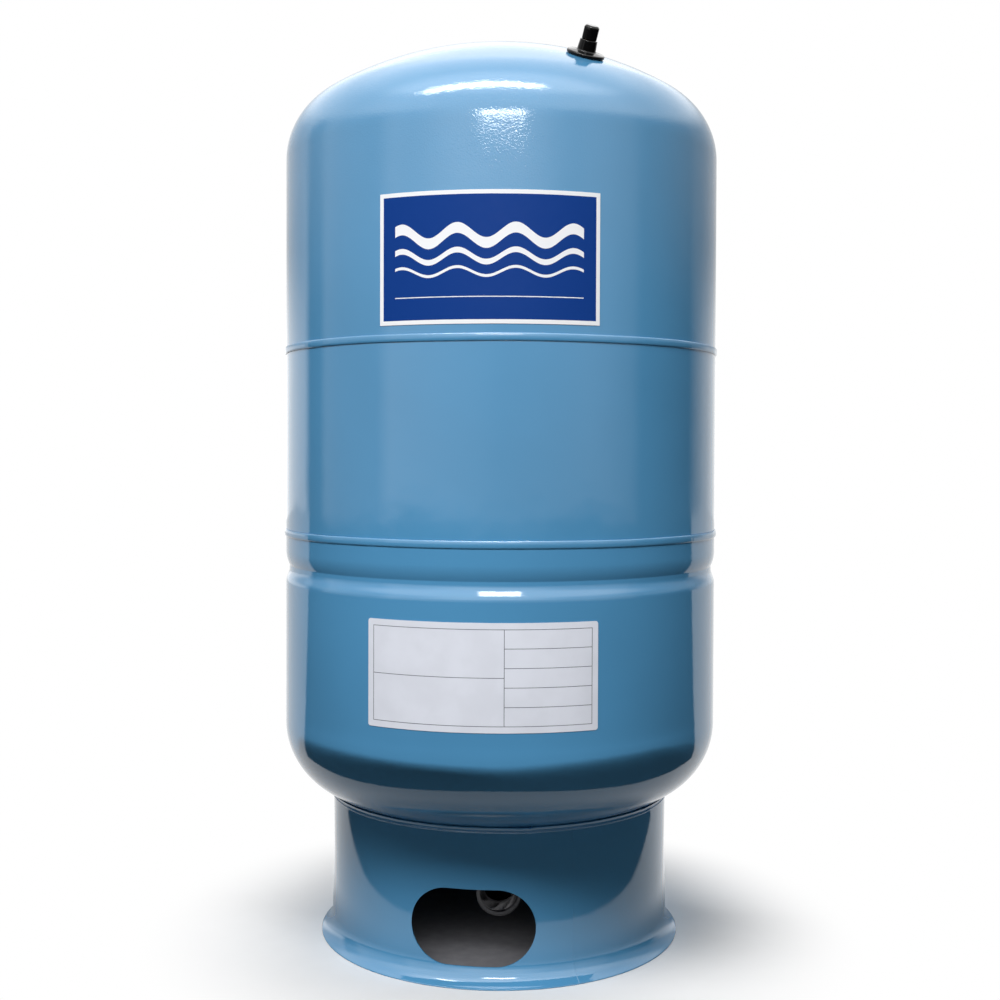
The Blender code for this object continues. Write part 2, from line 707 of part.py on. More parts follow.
def build_valve_cap():
    pitch = math.pi / CAP_SIDES

    def grip(shape):
        """A six-sided grip with blunt corners and a bevelled top."""
        bmesh.ops.create_cone(
            shape, cap_ends=True, segments=2 * CAP_SIDES, depth=CAP_LENGTH,
            radius1=CAP_RADIUS, radius2=CAP_RADIUS)
        for vert in shape.verts:
            turn = math.atan2(vert.co.y, vert.co.x)
            step = round(turn / pitch)
            turn += CAP_BLUNT if step % 2 == 0 else pitch - CAP_BLUNT
            vert.co.x = CAP_RADIUS * math.cos(turn)
            vert.co.y = CAP_RADIUS * math.sin(turn)
        top_edges = [edge for edge in shape.edges if min(vert.co.z for vert in edge.verts) > 0.0]
        bmesh.ops.bevel(shape, geom=top_edges, offset=CAP_CHAMFER, segments=2, affect="EDGES", profile=0.5)
        bmesh.ops.translate(shape, vec=Vector((0.0, 0.0, CAP_LOW + 0.5 * CAP_LENGTH)), verts=shape.verts)

    cap = on_valve(add_object("valve_cap", mesh_from(grip, "valve_cap"), BLACK_PLASTIC))
    mesh = rod_mesh("cap_bore_cutter", STEM_HOLE, CAP_LOW - GAP, CAP_SEAL_TOP + GAP)
    cut(cap, on_valve(add_object("cap_bore_cutter", mesh)))
    mesh = rod_mesh("cap_seal", STEM_RADIUS, CAP_SEAL_LOW, CAP_SEAL_TOP)
    on_valve(add_object("cap_seal", mesh, BLACK_RUBBER))


def build_labels():
    inner = SHELL_RADIUS + GAP
    for name, edges, look in (
        ("front_label", FRONT_LABEL, LABEL_BLUE),
        ("data_label", DATA_LABEL, LABEL_SILVER),
    ):
        outline = [(inner, edges["high"]), (inner, edges["low"])]
        sweep = edges["right"] - edges["left"]
        label = thicken(turned(name, outline, look, LABEL_STEPS, False, sweep), LABEL_THICKNESS, 1.0)
        label.rotation_euler = (0.0, 0.0, edges["left"] - 0.5 * math.pi)


build_shells()
build_welds()
build_skirt()
build_chamber()
build_connection()
build_inlet_seal()
build_diffuser()
build_valve_body()
build_valve_core()
build_core_spring()
build_valve_cap()
build_labels()
finish_meshes()
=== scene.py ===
"""Looks of the pressure tank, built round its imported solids.

The tank stands on the Z axis with its front towards -Y. All sizes are in metres.
"""
import math

import bmesh
import bpy
import numpy as np
from mathutils import Matrix, Vector


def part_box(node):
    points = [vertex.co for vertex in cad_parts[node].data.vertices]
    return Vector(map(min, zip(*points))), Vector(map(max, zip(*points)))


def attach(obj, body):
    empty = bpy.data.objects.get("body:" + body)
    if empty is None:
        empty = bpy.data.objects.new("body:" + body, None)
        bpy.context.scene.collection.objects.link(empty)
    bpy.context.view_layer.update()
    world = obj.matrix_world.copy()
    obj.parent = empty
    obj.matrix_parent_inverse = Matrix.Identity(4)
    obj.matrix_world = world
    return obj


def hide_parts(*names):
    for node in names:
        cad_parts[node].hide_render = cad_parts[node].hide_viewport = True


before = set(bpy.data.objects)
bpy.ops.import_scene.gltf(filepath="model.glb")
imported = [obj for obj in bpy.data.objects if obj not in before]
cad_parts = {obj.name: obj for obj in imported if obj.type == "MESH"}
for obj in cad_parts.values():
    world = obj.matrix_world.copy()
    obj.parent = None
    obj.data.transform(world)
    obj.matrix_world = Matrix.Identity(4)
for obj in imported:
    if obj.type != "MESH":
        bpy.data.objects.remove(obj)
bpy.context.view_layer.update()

# Facets round a full turn, and the angle from which an edge is sharp
TURN_STEPS = 288
SMALL_STEPS = 96
CAP_STEPS = 144
FILLET_STEPS = 160
BEAD_STEPS = 720
SKIRT_WELD_STEPS = 900
SHARP_ANGLE = math.radians(35.0)

# Steel body, in the same sizes as its solids
SHELL_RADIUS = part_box("upper_shell")[1].x
SHELL_WALL = 0.0016
GAP = 0.0003
UPPER_TANGENT_Z = 0.6962
UPPER_KNUCKLE = 0.0648
UPPER_CROWN = 0.3112
LOWER_TANGENT_Z = 0.1926
LOWER_KNUCKLE = 0.0656
LOWER_CROWN = 0.3070
LOWER_HOLE = 0.0170
KNUCKLE_STEPS = 20
CROWN_STEPS = 28
LIP_LENGTH = 0.0120
LIP_RAMP = 0.0030
LIP_SHIFT = 0.3
EDGE_ROUND = 0.0004
RING_STEP = 0.0020

# Beads of the two seams: size, distance off the shell, how full their outline is, and their
# ripples by size, count round the tank and shift
BEAD_HEIGHT = 0.0062
BEAD_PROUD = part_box("upper_girth_weld")[1].x - SHELL_RADIUS
BEAD_GAP = 0.0001
BEAD_SPARE = 0.0002
BEAD_FULLNESS = 0.5
BEAD_OUTLINE_STEPS = 12
BEAD_SHRINK = 0.05
BEAD_RIPPLES = ((0.03, 210.0, 0.0), (0.04, 37.0, 1.0))
BEAD_WANDER = 0.00008
UPPER_SEAM_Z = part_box("upper_girth_weld")[1].z - 0.5 * BEAD_HEIGHT
LOWER_SEAM_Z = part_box("lower_girth_weld")[1].z - 0.5 * BEAD_HEIGHT

# Rolled groove: DEPTH is its cosine inside, PRESS its depth outside, under a crisp turn
GROOVE_Z = 0.3331
GROOVE_DEPTH = 0.0029
GROOVE_HALF_HEIGHT = 0.0137
GROOVE_TURN_Z = 0.3339
GROOVE_FLAT = 0.0030
GROOVE_FLANK = 0.0125
GROOVE_PRESS = 0.0030
GROOVE_RINGS = 57

# Skirt
SKIRT_TOP_RADIUS = 0.1521
SKIRT_TOP_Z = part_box("base_skirt")[1].z
SKIRT_WAIST_RADIUS = 0.1515
SKIRT_WAIST_Z = 0.0750
SKIRT_FOOT_RADIUS = 0.1530
SKIRT_WALL = 0.0018
SKIRT_EDGE = 0.0003
LIP_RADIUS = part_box("base_skirt")[1].x
LIP_ROUND = 0.0008
LIP_EDGE = 0.0005
CREASE_ROUND = 0.0225
FLARE_ANGLE = math.radians(52.0)
FLARE_STEPS = 18
LIP_STEPS = 5
SEAM_TURN = math.radians(23.7)
SEAM_HALF = 0.0016
SEAM_PROUD = 0.0001
HOLE_WIDTH = 0.1040
HOLE_HEIGHT = 0.0630
HOLE_Z = 0.0466
HOLE_TURN = math.radians(-8.5)
HOLE_STEPS = 48
HOLE_EDGE = 0.0005
HOLE_CORNER = math.radians(60.0)
NORMAL_REACH = 0.0003
NORMAL_MATCH = 0.9

# Fillet between head and skirt: its reach over the skirt's edge, its rim and root, its lumps
# by turn, width in radians and size, and its ripples as above
SKIRT_WELD_LEG = 0.0034
SKIRT_WELD_GAP = 0.0002
SKIRT_WELD_REACH = 0.0016
SKIRT_WELD_RISE = SKIRT_WELD_LEG + 0.0012
SKIRT_WELD_HOLLOW = 1.1
SKIRT_WELD_RIM = 0.0008
SKIRT_WELD_RIM_DROP = 0.0005
SKIRT_WELD_ROOT_DROP = 0.0014
SKIRT_WELD_ROOT_TOP = 0.0006
SKIRT_WELD_ROOT_DEPTH = 0.0001
SKIRT_WELD_SAG = 0.7
SKIRT_WELD_ROUGH = 0.00030
SKIRT_WELD_LUMP = 0.0006
SKIRT_WELD_LUMPS = (
    (math.radians(-84.0), 0.05, 0.9), (math.radians(-80.5), 0.016, 1.2), (math.radians(-36.0), 0.06, 0.5),
)
SKIRT_WELD_RIPPLES = ((0.10, 190.0, 0.0), (0.10, 61.0, 2.0), (0.08, 23.0, 0.0))

# Water connection
TUBE_RADIUS = 0.0167
TUBE_WALL = 0.0028
TUBE_SIDES = 64
TUBE_WELD_LEG = 0.0034
TUBE_WELD_RIPPLE = 0.00012
TUBE_WELD_RIPPLES = ((1.0, 38.0, 0.0), (0.6, 17.0, 0.0))
TUBE_WELD_SPARE = 0.0002
BEND_RADIUS = 0.0260
OUTLET_Z = 0.5 * (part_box("outlet_socket")[0].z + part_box("outlet_socket")[1].z)
OUTLET_REACH = -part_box("outlet_socket")[0].y
SOCKET_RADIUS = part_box("outlet_socket")[1].x
SOCKET_LENGTH = 0.0320
SOCKET_BORE = 0.0152
SOCKET_SEAT = 0.0110
SOCKET_CHAMFER = 0.0012
SOCKET_PITCH = 0.00221
SOCKET_THREAD = 0.0012
SOCKET_THREAD_START = 0.0006
SOCKET_THREAD_RINGS = 80

# Shape of a thread: slope of its flanks and width of its crest. It is cut into the points
# that lie this close to the surface.
THREAD_SLOPE = 2.4
THREAD_CREST = 0.7
ON_SURFACE = 1e-6

# Air valve
VALVE_RADIUS = 0.1466
VALVE_TURN = math.radians(27.8)
COLLAR_RADIUS = 0.0160
COLLAR_THICKNESS = 0.0036
COLLAR_FILLET = 0.0014
COLLAR_RIM = 0.0013
COLLAR_RIM_DROP = 0.0020
COLLAR_FOOT = 0.0011
COLLAR_FOOT_INSET = 0.0014
SLEEVE_HEIGHT = 0.0127
SLEEVE_BASE_RADIUS = 0.0078
SLEEVE_TOP_RADIUS = 0.0072
SLEEVE_ROUND = 0.0006
STEM_RADIUS = 0.0039
STEM_HEIGHT = 0.0206
STEM_BORE = 0.0027
STEM_PASSAGE = 0.0016
STEM_STEP = 0.0086
STEM_ROUND = 0.0005
STEM_CHAMFER = 0.0003
STEM_PITCH = 0.000794
STEM_THREAD = 0.00045
STEM_THREAD_LOW = SLEEVE_HEIGHT - 0.0010
STEM_THREAD_HIGH = STEM_HEIGHT - 0.0006
STEM_THREAD_RINGS = 90
FOOT_RADIUS = 0.0090
FOOT_TOP = -0.0051
FOOT_THICKNESS = 0.0025
CAP_RADIUS = 0.0067
CAP_FLAT = 0.0062
CAP_SIDES = 6
CAP_BLUNTNESS = 36
CAP_LENGTH = 0.0112
CAP_CHAMFER = 0.0014
CAP_FOOT_EDGE = 0.0004
CAP_BORE = 0.0042
CAP_BORE_DEPTH = 0.0094
CAP_BORE_EDGE = 0.0005

# Stickers, by their edges left and right of the front
LABEL_RADIUS = SHELL_RADIUS + GAP
LABEL_THICKNESS = 0.0002
LABEL_COLUMNS = 140
LABEL_ROWS = 5
CORNER_STEPS = 8
FRONT_LABEL = {
    "left": math.radians(-29.4), "right": math.radians(23.4),
    "low": 0.5353, "high": 0.6392, "round": 0.0004,
}
DATA_LABEL = {
    "left": math.radians(-32.6), "right": math.radians(23.4),
    "low": 0.2158, "high": 0.3022, "round": 0.0022,
}

# Print on the front sticker: border, rule, and waves by height, swing and half their thickness
FRONT_BORDER = 0.0033
FRONT_RULE = (0.5560, 0.5567)
WAVES = ((0.604, 0.0060, 0.0042), (0.588, 0.0048, 0.0022), (0.576, 0.0036, 0.0011))
WAVE_LENGTH = 0.046
WAVE_MARGIN = 0.014

# Print on the data sticker: a frame between two margins, an upright rule, and level rules
# on one side of it, by their share of the height
DATA_MARGIN = 0.0050
FRAME_MARGIN = 0.0055
RULE_HALF = 0.00025
FORM_SPLIT = 0.60
FORM_RULES = (
    ("GREATER_THAN", 0.2), ("GREATER_THAN", 0.4), ("GREATER_THAN", 0.6), ("GREATER_THAN", 0.8),
    ("LESS_THAN", 0.5),
)

# Camera, as the photograph was taken
CAMERA_DISTANCE = 1.240
CAMERA_HEIGHT = 0.43716
CAMERA_PITCH = math.radians(-1.082)
CAMERA_ROLL = math.radians(0.195)
CAMERA_LENS = 48.35
CAMERA_SENSOR = 36.0
CAMERA_SHIFT = (-0.0005, -0.0247)

# Floor. Reflections meet a dark cloth on it in front, which ends at
# y = x * x * CLOTH_CURVE - CLOTH_EDGE near the middle and at y = x * CLOTH_SIDE - CLOTH_SIDE_EDGE
# further out, and beyond it FLOOR_TONE, then white past MIRRORED_FADE. Diffuse light meets
# BOUNCE_TONE. The camera meets FLOOR_GRAIN, white past FLOOR_FADE, and under the skirt a dark
# grained tone that is painted shade.
FLOOR_SIZE = 14.0
CLOTH_CURVE = 2.15
CLOTH_EDGE = 0.300
CLOTH_SIDE = 0.53
CLOTH_SIDE_EDGE = 0.07
CLOTH_BLEND = 0.006
CLOTH_TONE = 0.02
FLOOR_TONE = 0.55
BOUNCE_TONE = 0.15
FLOOR_GRAIN = (0.78, 0.82)
FLOOR_FADE = (0.165, 0.33)
MIRRORED_FADE = (0.17, 0.25)
# Painted shade: under the skirt, where the tank shades it, the floor is a dark grained tone instead of
# the pale one
UNDER_SKIRT_SHADE_EDGE = (0.156, 0.160)
UNDER_SKIRT_SHADE_DARK = (0.10, 0.10, 0.11)
UNDER_SKIRT_SHADE_PALE = (0.16, 0.16, 0.17)

# Black flag that shades the lower head and the skirt, and its inner and outer radius by
# turn from the front in degrees
FLAG_Z = 0.200
FLAG_RADII = (
    (-60.0, 0.204, 0.262), (-42.0, 0.205, 0.266), (0.0, 0.2085, 0.279),
    (20.0, 0.204, 0.299), (40.0, 0.201, 0.308), (56.0, 0.204, 0.308),
)
FLAG_COLUMNS = 57
FLAG_TONES = (0.010, 0.016)

# Lamps: name, place, aim, width and height, radiance, the one kind of light that they give,
# and shape
LAMPS = (
    ("softbox", (-0.62, -2.80, 2.95), (0.0, -0.15, 0.65), (3.60, 1.00), 16.5, "DIFFUSE", "RECTANGLE"),
    ("back_fill", (1.27, 2.72, 0.90), (0.0, 0.0, 0.45), (2.40, 1.40), 5.5, "DIFFUSE", "RECTANGLE"),
    ("streak_lamp", (-0.54, -1.67, 3.42), (-0.54, -0.15, 0.65), (3.05, 0.42), 30.0, "GLOSS", "ELLIPSE"),
    ("camera_lamp", (0.0, -1.30, 1.075), (0.0, -0.15, 0.65), (0.50, 0.13), 22.0, "GLOSS", "RECTANGLE"),
    ("hole_lamp", (-0.02, -0.08, 0.04), (-0.02, -0.08, 0.0), (0.10, 0.07), 0.7, "DIFFUSE", "RECTANGLE"),
)

# Brightness of the room in gloss at eye level, by its turn from the front in degrees
ROOM = (
    (-150.0, 1.50), (-124.0, 1.45), (-118.0, 0.08), (-108.0, 0.08), (-102.0, 0.70), (-90.0, 0.60),
    (-66.0, 0.60), (-58.0, 1.45), (-40.0, 1.25), (-12.0, 0.95), (0.0, 0.75), (30.0, 0.80),
    (46.0, 0.90), (56.0, 0.80), (70.0, 0.50), (77.0, 0.05), (115.0, 0.05), (123.0, 0.55),
    (133.0, 0.95), (150.0, 1.20),
)
ROOM_SCALE = 2.0

# What changes above eye level: LIFT is the height in which a change takes place, as an angle,
# and DEPTH the part of the way from front (-1) to back (1)
PANEL_TURN = math.radians(5.0)
PANEL_EDGES = (math.radians(10.0), math.radians(45.0))
FRONT_PANEL = 1.6
ROOM_HAZE = 0.5
HAZE_LIFT = (math.radians(4.0), math.radians(13.0))
REAR_SHADE = 0.45
REAR_LIFT = (math.radians(3.0), math.radians(9.0))
REAR_DEPTH = (0.30, 0.65)
UPPER_ROOM = (3.2, 2.0)
UPPER_LIFT = (math.radians(20.0), math.radians(30.0))
UPPER_DEPTH = (-0.45, 0.10)
CEILING = (5.2, 2.6)
CEILING_LIFT = (math.radians(42.0), math.radians(54.0))
CEILING_DEPTH = (-0.30, 0.05)
AMBIENT = 0.19


# Outlines in the (radius, height) plane

def arc(centre, radius, start, end, steps):
    """Points on an arc between two angles, measured from outwards towards up."""
    points = []
    for step in range(steps + 1):
        angle = start + (end - start) * step / steps
        points.append((centre[0] + radius * math.cos(angle), centre[1] + radius * math.sin(angle)))
    return points


def head(tangent_z, knuckle, crown, side, inset=0.0, hole=0.0):
    """A dished head's outline from its tangent line to its pole, or to a hole there."""
    centre = tangent_z - side * math.sqrt((crown - knuckle) ** 2 - (SHELL_RADIUS - knuckle) ** 2)
    turn = math.atan2(side * (tangent_z - centre), SHELL_RADIUS - knuckle)
    last = math.acos(hole / (crown - inset))
    points = arc((SHELL_RADIUS - knuckle, tangent_z), knuckle - inset, 0.0, side * turn, KNUCKLE_STEPS)
    points += arc((0.0, centre), crown - inset, side * turn, side * last, CROWN_STEPS)[1:]
    if hole == 0.0:
        points[-1] = (0.0, points[-1][1])
    return points


def wall(outer, inner, edge=EDGE_ROUND):
    """Close a sheet's outer and inner outlines, both given downwards, with eased edges at the foot."""
    foot_out, foot_in = outer[-1], inner[-1]
    return (
        outer[:-1]
        + [(foot_out[0], foot_out[1] + edge), (foot_out[0] - edge, foot_out[1])]
        + [(foot_in[0] + edge, foot_in[1]), (foot_in[0], foot_in[1] + edge)]
        + inner[-2::-1]
    )


def lathe(name, outline, steps=TURN_STEPS, shape=None, closed=True, matrix=None):
    """Turn an outline round Z. shape may move a point, given its radius, height and angle."""
    mesh = bmesh.new()
    rings = []
    for radius, height in outline:
        if radius < 1e-7:
            rings.append([mesh.verts.new((0.0, 0.0, height))] * steps)
            continue
        ring = []
        for step in range(steps):
            angle = 2.0 * math.pi * step / steps
            r, z = shape(radius, height, angle) if shape else (radius, height)
            ring.append(mesh.verts.new((r * math.cos(angle), r * math.sin(angle), z)))
        rings.append(ring)
    pairs = list(zip(rings, rings[1:]))
    if closed and rings[0] is not rings[-1] and len(set(rings[0])) > 1:
        pairs.append((rings[-1], rings[0]))
    for high, low in pairs:
        for step in range(steps):
            corners = [high[step], low[step], low[(step + 1) % steps], high[(step + 1) % steps]]
            corners = list(dict.fromkeys(corners))
            if len(corners) > 2:
                mesh.faces.new(corners)
    bmesh.ops.recalc_face_normals(mesh, faces=mesh.faces)
    if matrix is not None:
        bmesh.ops.transform(mesh, matrix=matrix, verts=mesh.verts)
    return finished(name, mesh)


def finished(name, mesh):
    """Turn a bmesh into a piece with smooth faces and sharp edges."""
    data = bpy.data.meshes.new(name)
    mesh.to_mesh(data)
    mesh.free()
    data.shade_smooth()
    data.set_sharp_from_angle(angle=SHARP_ANGLE)
    piece = bpy.data.objects.new(name, data)
    bpy.context.scene.collection.objects.link(piece)
    return piece


def stands_for(piece, node, body="tank"):
    """Put a piece in place of the CAD node that it details."""
    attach(piece, body)
    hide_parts(node)
    return piece


# Materials

class Nodes:
    """A small helper that adds shader nodes to a material or world and links their sockets."""

    def __init__(self, owner):
        owner.use_nodes = True
        self.tree = owner.node_tree

    def add(self, kind, values=None, **settings):
        node = self.tree.nodes.new(kind)
        for key, value in settings.items():
            setattr(node, key, value)
        for key, value in (values or {}).items():
            self.put(node.inputs[key], value)
        return node

    def put(self, socket, value):
        if isinstance(value, bpy.types.NodeSocket):
            self.tree.links.new(value, socket)
        else:
            socket.default_value = value

    def math(self, operation, first, second=0.0, third=0.0, clamp=False):
        node = self.add("ShaderNodeMath", operation=operation, use_clamp=clamp)
        for socket, value in zip(node.inputs, (first, second, third)):
            self.put(socket, value)
        return node.outputs[0]

    def ramp(self, value, low, high, start=0.0, end=1.0):
        """Map a value smoothly from one range to another."""
        values = {"Value": value, "From Min": low, "From Max": high, "To Min": start, "To Max": end}
        return self.add("ShaderNodeMapRange", values, interpolation_type="SMOOTHSTEP").outputs["Result"]


class Surface(Nodes):
    """A new material with its shader."""

    def __init__(self, name):
        self.material = bpy.data.materials.new(name)
        super().__init__(self.material)
        self.shader = self.tree.nodes["Principled BSDF"]

    def set(self, **values):
        for key, value in values.items():
            self.put(self.shader.inputs[key.replace("_", " ")], value)

    def place(self):
        """Position on the object, in metres."""
        return self.add("ShaderNodeTexCoord").outputs["Object"]

    def noise(self, scale, detail=2.0):
        values = {"Scale": scale, "Detail": detail, "Roughness": 0.5, "Vector": self.place()}
        return self.add("ShaderNodeTexNoise", values).outputs["Fac"]

    def spread(self, noise, start=0.0, end=1.0):
        """Map the range in which most of a noise lies to another."""
        return self.ramp(noise, 0.3, 0.7, start, end)

    def mix(self, factor, first, second):
        node = self.add("ShaderNodeMix", data_type="RGBA")
        for index, value in ((0, factor), (6, first), (7, second)):
            self.put(node.inputs[index], value)
        return node.outputs[2]

    def bump(self, height, distance, normal=None):
        values = {"Height": height, "Distance": distance, "Strength": 1.0}
        if normal is not None:
            values["Normal"] = normal
        return self.add("ShaderNodeBump", values).outputs["Normal"]


def opaque(colour, factor=1.0):
    return tuple(channel * factor for channel in colour) + (1.0,)


def grey(tone):
    return opaque((tone, tone, tone))


ENAMEL_COLOUR = (0.075, 0.262, 0.470)
ENAMEL_TONES = (0.96, 1.04)
ENAMEL_ROUGHNESS = (0.05, 0.08)
ENAMEL_IOR = 1.55

# Fine dimples of the paint, full on the upper head and faint below it, and its broad waves
PEEL_SCALE = 750.0
PEEL_RISE = 0.00009
PEEL_HEIGHTS = (0.60, 0.69)
PEEL_SHARES = (0.15, 1.0)
PAINT_WAVE_SCALE = 36.0
PAINT_WAVE_RISE = 0.00012


def enamel(name, seam=None):
    """Thick glossy enamel, sprayed, over an upright butt seam if its turn is given."""
    n = Surface(name)
    low_tone, high_tone = (opaque(ENAMEL_COLOUR, tone) for tone in ENAMEL_TONES)
    colour = n.mix(n.spread(n.noise(6.0, 3.0)), low_tone, high_tone)
    height = n.add("ShaderNodeSeparateXYZ", {"Vector": n.place()}).outputs["Z"]
    peel = n.math("MULTIPLY", n.noise(PEEL_SCALE, 1.0), n.ramp(height, *PEEL_HEIGHTS, *PEEL_SHARES))
    dimples = n.bump(peel, PEEL_RISE)
    normal = n.bump(n.noise(PAINT_WAVE_SCALE, 1.0), PAINT_WAVE_RISE, normal=dimples)
    if seam is not None:
        across, _ = label_place(n)
        off = n.math("ABSOLUTE", n.math("SUBTRACT", across, seam * LABEL_RADIUS))
        normal = n.bump(n.ramp(off, 0.0, SEAM_HALF, 1.0, 0.0), SEAM_PROUD, normal=normal)
    n.set(Base_Color=colour, Roughness=n.spread(n.noise(90.0), *ENAMEL_ROUGHNESS), Normal=normal)
    n.set(IOR=ENAMEL_IOR)
    return n.material


def moulded_black(name):
    n = Surface(name)
    grain = n.noise(900.0, 2.0)
    n.set(Base_Color=n.mix(grain, grey(0.002), grey(0.005)))
    n.set(Roughness=n.spread(n.noise(300.0), 0.08, 0.14), Normal=n.bump(grain, 0.00001))
    n.set(Specular_IOR_Level=0.15)
    return n.material


# Materials with one fine grain: scale and detail of its noise, the two colours and the two
# roughnesses between which it varies, the height of its bump, and the share of metal
GRAINS = {
    # Painted shade: the stainless colours are darkened to near black, because the water connection sits
    # in shade inside the skirt
    "stainless_painted_shade": (260.0, 4.0, (0.05, 0.05, 0.053), (0.09, 0.09, 0.094), (0.36, 0.50), 0.00003, 1.0),
    "brass": (700.0, 3.0, (0.62, 0.43, 0.17), (0.78, 0.58, 0.28), (0.22, 0.36), 0.00001, 1.0),
    "rubber": (500.0, 4.0, (0.012, 0.012, 0.013), (0.028, 0.028, 0.029), (0.6, 0.8), 0.00006, 0.0),
    "white_plastic": (300.0, 3.0, (0.72, 0.73, 0.71), (0.80, 0.81, 0.79), (0.38, 0.52), 0.00003, 0.0),
    "strip_steel": (220.0, 5.0, (0.34, 0.34, 0.36), (0.48, 0.48, 0.50), (0.3, 0.5), 0.00004, 1.0),
}


def grained(name):
    scale, detail, dark, pale, roughness, rise, metal = GRAINS[name]
    n = Surface(name)
    grain = n.noise(scale, detail)
    n.set(Base_Color=n.mix(grain, opaque(dark), opaque(pale)), Metallic=metal)
    n.set(Roughness=n.spread(grain, *roughness), Normal=n.bump(grain, rise))
    return n.material


# Steel body

def groove_dip(height, inset):
    """Depth of the groove: soft inside, and outside with a crisp turn between its flanks."""
    if inset:
        share = (height - GROOVE_Z) / GROOVE_HALF_HEIGHT
        return 0.5 * GROOVE_DEPTH * (1.0 + math.cos(math.pi * min(1.0, abs(share))))
    if height > GROOVE_TURN_Z:
        top = GROOVE_Z + GROOVE_HALF_HEIGHT
        return GROOVE_PRESS * max(0.0, (top - height) / (top - GROOVE_TURN_Z)) ** 2
    share = (GROOVE_TURN_Z - GROOVE_FLAT - height) / GROOVE_FLANK
    return 0.5 * GROOVE_PRESS * (1.0 + math.cos(math.pi * min(1.0, max(0.0, share))))


def make_upper_shell():
    low = UPPER_SEAM_Z + 0.5 * GAP
    sides = []
    for inset in (0.0, SHELL_WALL):
        outline = head(UPPER_TANGENT_Z, UPPER_KNUCKLE, UPPER_CROWN, 1, inset)[::-1]
        side = SHELL_RADIUS - inset
        outline += [(side, UPPER_TANGENT_Z - RING_STEP), (side, low + RING_STEP), (side, low)]
        sides.append(outline)
    return lathe("tank_upper_shell", wall(*sides), closed=False)


def make_middle_shell():
    lip = SHELL_RADIUS - SHELL_WALL - GAP
    high = UPPER_SEAM_Z - 0.5 * GAP
    low = LOWER_SEAM_Z + 0.5 * GAP
    sides = []
    for inset in (0.0, SHELL_WALL):
        inner, outer = lip - inset, SHELL_RADIUS - inset
        top, foot = high - LIP_SHIFT * inset, low + LIP_SHIFT * inset
        sides.append([
            (inner, UPPER_SEAM_Z + LIP_LENGTH),
            (inner, top + RING_STEP),
            (inner, top),
            (outer, top - LIP_RAMP),
            (outer, top - LIP_RAMP - EDGE_ROUND),
            (outer, top - LIP_RAMP - RING_STEP),
            (outer, foot + LIP_RAMP + RING_STEP),
            (outer, foot + LIP_RAMP + EDGE_ROUND),
            (outer, foot + LIP_RAMP),
            (inner, foot),
            (inner, foot - RING_STEP),
            (inner, LOWER_SEAM_Z - LIP_LENGTH),
        ])
    return lathe("tank_middle_shell", wall(*sides))


def make_lower_shell():
    high, low = GROOVE_Z + GROOVE_HALF_HEIGHT, GROOVE_Z - GROOVE_HALF_HEIGHT
    sides = []
    for inset in (0.0, SHELL_WALL):
        side = SHELL_RADIUS - inset
        outline = [(side, LOWER_SEAM_Z - 0.5 * GAP), (side, high + RING_STEP)]
        for height in np.linspace(high, low, GROOVE_RINGS):
            outline.append((side - groove_dip(height, inset), float(height)))
        outline += [(side, low - RING_STEP), (side, LOWER_TANGENT_Z + RING_STEP)]
        outline += head(LOWER_TANGENT_Z, LOWER_KNUCKLE, LOWER_CROWN, -1, inset, LOWER_HOLE)
        sides.append(outline)
    return lathe("tank_lower_shell", sides[0] + sides[1][::-1])


def ripples(waves, angle):
    """Sum of sine waves round the turn, each given by size, count and shift."""
    return sum(size * math.sin(count * angle + shift) for size, count, shift in waves)


def make_girth_weld(name, seam):
    """A full round bead with the faint ripples of a machine weld."""
    half = 0.5 * BEAD_HEIGHT
    inner = SHELL_RADIUS + BEAD_GAP
    outline = [(inner, seam + half)]
    for step in range(1, BEAD_OUTLINE_STEPS):
        angle = math.pi * step / BEAD_OUTLINE_STEPS
        out = (BEAD_PROUD - BEAD_SPARE) * math.sin(angle) ** BEAD_FULLNESS
        outline.append((inner + out, seam + half * math.cos(angle)))
    outline.append((inner, seam - half))

    def ripple(radius, height, angle):
        wave = ripples(BEAD_RIPPLES, angle) - BEAD_SHRINK
        wander = BEAD_WANDER * math.sin(9.0 * angle + seam * 40.0)
        return inner + (radius - inner) * (1.0 + wave), height + wander

    return lathe(name, outline, BEAD_STEPS, ripple)


def skirt_outline(inset=0.0):
    """Down the wall, over a soft bend into a short straight flare, and round the lip."""
    bends = LIP_ROUND + CREASE_ROUND
    straight = LIP_RADIUS - SKIRT_FOOT_RADIUS - bends * (1.0 - math.cos(FLARE_ANGLE))
    crease_z = LIP_EDGE + bends * math.sin(FLARE_ANGLE) + straight / math.tan(FLARE_ANGLE)
    lip = (LIP_RADIUS - LIP_ROUND, LIP_EDGE)
    crease = (SKIRT_FOOT_RADIUS + CREASE_ROUND, crease_z)
    outline = [(SKIRT_TOP_RADIUS - inset, SKIRT_TOP_Z), (SKIRT_WAIST_RADIUS - inset, SKIRT_WAIST_Z)]
    outline.append((SKIRT_FOOT_RADIUS - inset, crease_z + RING_STEP))
    bend = CREASE_ROUND + inset
    turn = min(FLARE_ANGLE, math.asin((crease_z - LIP_EDGE) / bend))
    outline += arc(crease, bend, math.pi, math.pi + turn, FLARE_STEPS)
    if inset == 0.0:
        outline += arc(lip, LIP_ROUND, FLARE_ANGLE, 0.0, LIP_STEPS)
    return outline + [(outline[-1][0], 0.0)]


def make_skirt():
    return lathe("tank_skirt", wall(skirt_outline(), skirt_outline(SKIRT_WALL), SKIRT_EDGE))


